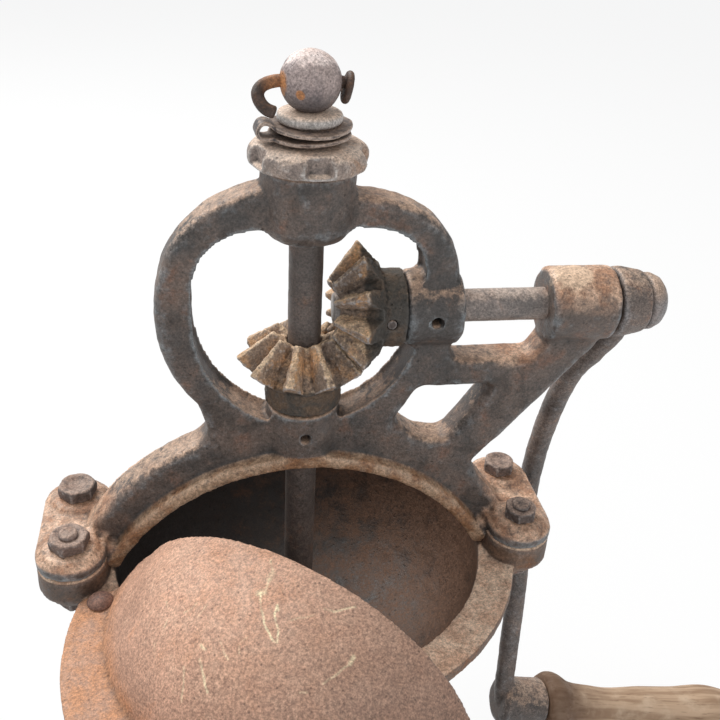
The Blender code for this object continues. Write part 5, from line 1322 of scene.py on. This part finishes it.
# Each scratch is a strength, a half width in metres, and a run of points on the closed lid,
# seen from above, in millimetres.
scratches = [
    (1.0, 0.00050, (-5.9, -26.9), (-2.6, -30.8), (0.9, -34.1), (5.1, -36.3), (6.5, -36.0), (4.6, -33.3),
     (1.3, -30.0), (0.4, -27.8), (1.6, -28.8)),
    (0.6, 0.00060, (-9.5, -16.4), (-6.4, -19.5), (-6.1, -21.3), (-4.9, -25.4), (-5.9, -26.9)),
    (0.9, 0.00150, (-6.2, -20.4), (-6.0, -22.0)),
    (0.9, 0.00150, (-5.2, -26.2), (-6.4, -27.2)),
    (0.8, 0.00042, (-18.8, -34.9), (-19.0, -38.4)),
    (0.4, 0.00035, (-32.9, -35.9), (-30.2, -38.1)),
    (0.4, 0.00045, (-28.6, -40.6), (-28.1, -42.5)),
    (0.5, 0.00045, (-24.3, -38.0), (-22.5, -36.6), (-22.2, -35.1)),
    (0.6, 0.00050, (-13.6, -43.9), (-11.5, -44.8)),
    (0.8, 0.00050, (-11.7, -47.1), (-8.3, -49.8), (-5.1, -51.9)),
    (0.5, 0.00038, (-15.3, -49.4), (-13.4, -52.2), (-11.6, -55.2)),
    (0.3, 0.00035, (-28.7, -46.0), (-26.5, -48.8)),
    (0.4, 0.00035, (-8.4, -42.1), (-5.3, -44.0), (-3.8, -44.7)),
    (0.4, 0.00035, (-1.9, -42.3), (-3.0, -40.2), (-2.0, -38.5)),
    (0.3, 0.00040, (6.1, -29.6), (10.8, -25.3)),
    (0.6, 0.00055, (15.0, -21.6), (19.2, -16.8)),
    (0.5, 0.00055, (12.4, -22.2), (15.0, -21.6)),
    (0.7, 0.00100, (25.5, -28.2), (25.5, -29.8)),
    (0.5, 0.00045, (25.5, -29.8), (23.4, -35.0), (21.9, -37.5)),
    (0.4, 0.00040, (19.2, -41.2), (17.8, -42.3)),
]


def off_line(f, place, start, stop):
    """How far a place is from the straight line between two points."""
    way = stop - start
    away = f.vector("SUBTRACT", place, start)
    share = f.vector("DOT_PRODUCT", away, way / way.length_squared)
    share = f.maths("MAXIMUM", f.maths("MINIMUM", share, 1.0), 0.0)
    beside = f.node("ShaderNodeVectorMath", operation="SCALE")
    beside.inputs[0].default_value = way
    f.feed(beside.inputs["Scale"], share)
    return f.vector("DISTANCE", away, beside.outputs["Vector"])


def lid_marks(f, colour, patch, crust):
    """The dome is shaded on its right, orange at its foot and scratched pale, and the flange is darker."""
    shake = f.node("ShaderNodeTexNoise")
    f.feed(shake.inputs["Vector"], f.where["Object"])
    shake.inputs["Scale"].default_value = 260
    waver = f.vector("MULTIPLY", shake.outputs["Color"], (0.0012, 0.0012, 0))
    waver = f.vector("ADD", waver, (-0.0006, -0.0006, 0))
    flat = f.vector("MULTIPLY", f.vector("ADD", f.where["Object"], waver), (1, 1, 0))
    marks = 0.0
    for strength, width, *run in scratches:
        points = [opened @ Vector((x / 1000, y / 1000, 0)) for x, y in run]
        nearest = width
        for start, stop in zip(points, points[1:]):
            nearest = f.maths("MINIMUM", nearest, off_line(f, flat, start, stop))
        marks = f.maths("MAXIMUM", marks, f.spread(nearest, 0.00006, width, strength, 0.0))
    marks = f.times(marks, f.spread(crust, 0.34, 0.60, 0.20, 1.0))
    on_top = f.spread(f.facing_up(), 0.05, 0.15)
    height = f.position(2)
    across = f.plus(f.maths("SUBTRACT", f.position(0), f.position(1)), f.times(patch, 0.02))
    shady = f.spread(across, 0.045, 0.130, 0.0, 0.62)
    colour = f.blend(shady, colour, tone(138, 112, 98))
    flange = f.spread(height, lid_top + 0.0004, lid_top + 0.0020, 0.55, 0.0)
    colour = f.blend(flange, colour, tone(168, 128, 104))
    low = f.spread(height, lid_top + 0.001, lid_top + 0.009, 1.0, 0.0)
    orange = f.times(low, on_top, f.spread(patch, 0.38, 0.62, 0.10, 0.62))
    colour = f.blend(orange, colour, tone(206, 148, 106))
    return f.blend(f.times(marks, on_top), colour, SCRATCH_TONE)


lid_finish = iron("lid_iron_skin", dark=(182, 142, 120), brown=(202, 158, 134), rust=(192, 138, 106),
                  dust_and_top_light=(218, 176, 150), bare_and_sheen=(176, 160, 148), rusting=0.30, dusting_and_top_light=0.60, wear=0.4,
                  grain=0.0009, gloss=0.60, depth=0.00026, soot=0.10, extra=lid_marks)
lid = cast("lid_casting", [lid_shell], lid_finish, voxel=0.0009, soften=2, swell=0.0005, lump=0.010)
lid.data.transform(opened)
fit(lid, "lid")

rivet_finish = iron("rivet_iron", dark=(112, 84, 74), brown=(140, 104, 90), rust=(150, 100, 76),
                    dust_and_top_light=(168, 130, 112), bare_and_sheen=(150, 126, 116), rusting=0.4, dusting_and_top_light=0.3, wear=0.3,
                    grain=0.0008, gloss=0.6, depth=0.0002, soot=0.1)
rivet_seat = lid_top + JOINT_GAP
rivet_under = RIM_Z - RIM_THICKNESS
rivet = turned_piece("lid_rivet_iron", [
    (0, rivet_seat + 0.0026), (0.0014, rivet_seat + 0.0025), (0.0027, rivet_seat + 0.0020),
    (0.0037, rivet_seat + 0.0012), (0.0043, rivet_seat + 0.0003), (0.0042, rivet_seat),
    (0.0022, rivet_seat), (0.0022, rivet_under - JOINT_GAP), (0.0031, rivet_under - JOINT_GAP),
    (0.0028, rivet_under - 0.0018), (0, rivet_under - 0.0022),
], rivet_finish, 32, 0.0002, 0.002)
rivet.data.transform(Matrix.Translation(LID_PIVOT))
fit(rivet, "lid_rivet")


# Stage. A plain white table in a white room, with a large window lamp behind on the left, a weak lamp
# in front on the right, and the camera above the front, a little to the left.

TABLE_HALF = 4.0
TABLE_GLOW = 0.84
LAMP_AIM = Vector((0, 0, 0.18))
CAMERA_PLACE = (-0.0300948, -0.2510315, 0.3762120)
AZIMUTH = math.radians(-11.01)
ELEVATION = math.radians(30.7)
ROLL = math.radians(3.61)


def wired(tree, kind, *values):
    """A shader node with values or other nodes' outputs on its first sockets; its own first output."""
    made = tree.nodes.new(kind)
    for socket, value in zip(made.inputs, values):
        if isinstance(value, bpy.types.NodeSocket):
            tree.links.new(value, socket)
        else:
            socket.default_value = value
    return made.outputs[0] if made.outputs else None


def either(tree, first, second):
    """The larger of two values."""
    larger = wired(tree, "ShaderNodeMath", first, second)
    larger.node.operation = "MAXIMUM"
    return larger


corners = [(-1, -1), (1, -1), (1, 1), (-1, 1)]
floor_mesh = mesh_of("table", [(x * TABLE_HALF, y * TABLE_HALF, 0) for x, y in corners], [(0, 1, 2, 3)])
floor_finish = bpy.data.materials.new("table_white")
floor_finish.use_nodes = True
tree = floor_finish.node_tree
tree.nodes.clear()
rays = tree.nodes.new("ShaderNodeLightPath").outputs
seen = either(tree, either(tree, rays["Is Camera Ray"], rays["Is Glossy Ray"]), rays["Is Transmission Ray"])
glowing = wired(tree, "ShaderNodeMath", seen, TABLE_GLOW)
glowing.node.operation = "MULTIPLY"
paint = wired(tree, "ShaderNodeBsdfDiffuse", (0.90, 0.90, 0.90, 1))
glow = wired(tree, "ShaderNodeEmission", (1, 1, 1, 1))
wired(tree, "ShaderNodeOutputMaterial", wired(tree, "ShaderNodeMixShader", glowing, paint, glow))
floor = put("table", floor_mesh, floor_finish)

world = bpy.data.worlds.new("room")
bpy.context.scene.world = world
world.use_nodes = True
tree = world.node_tree
tree.nodes.clear()
room = wired(tree, "ShaderNodeBackground", (0.96, 0.98, 1.0, 1), 0.50)
white = wired(tree, "ShaderNodeBackground", (1, 1, 1, 1), 1.0)
seen = tree.nodes.new("ShaderNodeLightPath").outputs["Is Camera Ray"]
wired(tree, "ShaderNodeOutputWorld", wired(tree, "ShaderNodeMixShader", seen, room, white))


def lamp(name, place, size, power, colour):
    """A soft square lamp turned towards the mill."""
    light = bpy.data.lights.new(name, "AREA")
    light.size = size
    light.energy = power
    light.color = colour
    thing = bpy.data.objects.new(name, light)
    thing.location = place
    thing.rotation_euler = (LAMP_AIM - Vector(place)).to_track_quat("-Z", "Y").to_euler()
    bpy.context.scene.collection.objects.link(thing)


lamp("window", (-0.55, 0.65, 1.15), size=0.9, power=17.5, colour=(1.0, 0.99, 0.97))
lamp("room_front", (0.35, -1.1, 0.85), size=1.0, power=3.0, colour=(1.0, 0.97, 0.94))

level_way = Vector((-math.sin(AZIMUTH), math.cos(AZIMUTH), 0))
forward = level_way * math.cos(ELEVATION) - Vector((0, 0, math.sin(ELEVATION)))
right = forward.cross(Vector((0, 0, 1))).normalized()
above = right.cross(forward)
rolled_right = right * math.cos(ROLL) + above * math.sin(ROLL)
rolled_above = above * math.cos(ROLL) - right * math.sin(ROLL)
camera_data = bpy.data.cameras.new("camera")
camera_data.lens = 45
camera_data.sensor_width = 36
camera_data.clip_start = 0.001
camera_data.clip_end = 20
camera = bpy.data.objects.new("camera", camera_data)
view = Matrix((rolled_right, rolled_above, -forward)).transposed().to_4x4()
view.translation = Vector(CAMERA_PLACE)
camera.matrix_world = view
bpy.context.scene.collection.objects.link(camera)
bpy.context.scene.camera = camera
bpy.context.scene.view_settings.view_transform = "Standard"
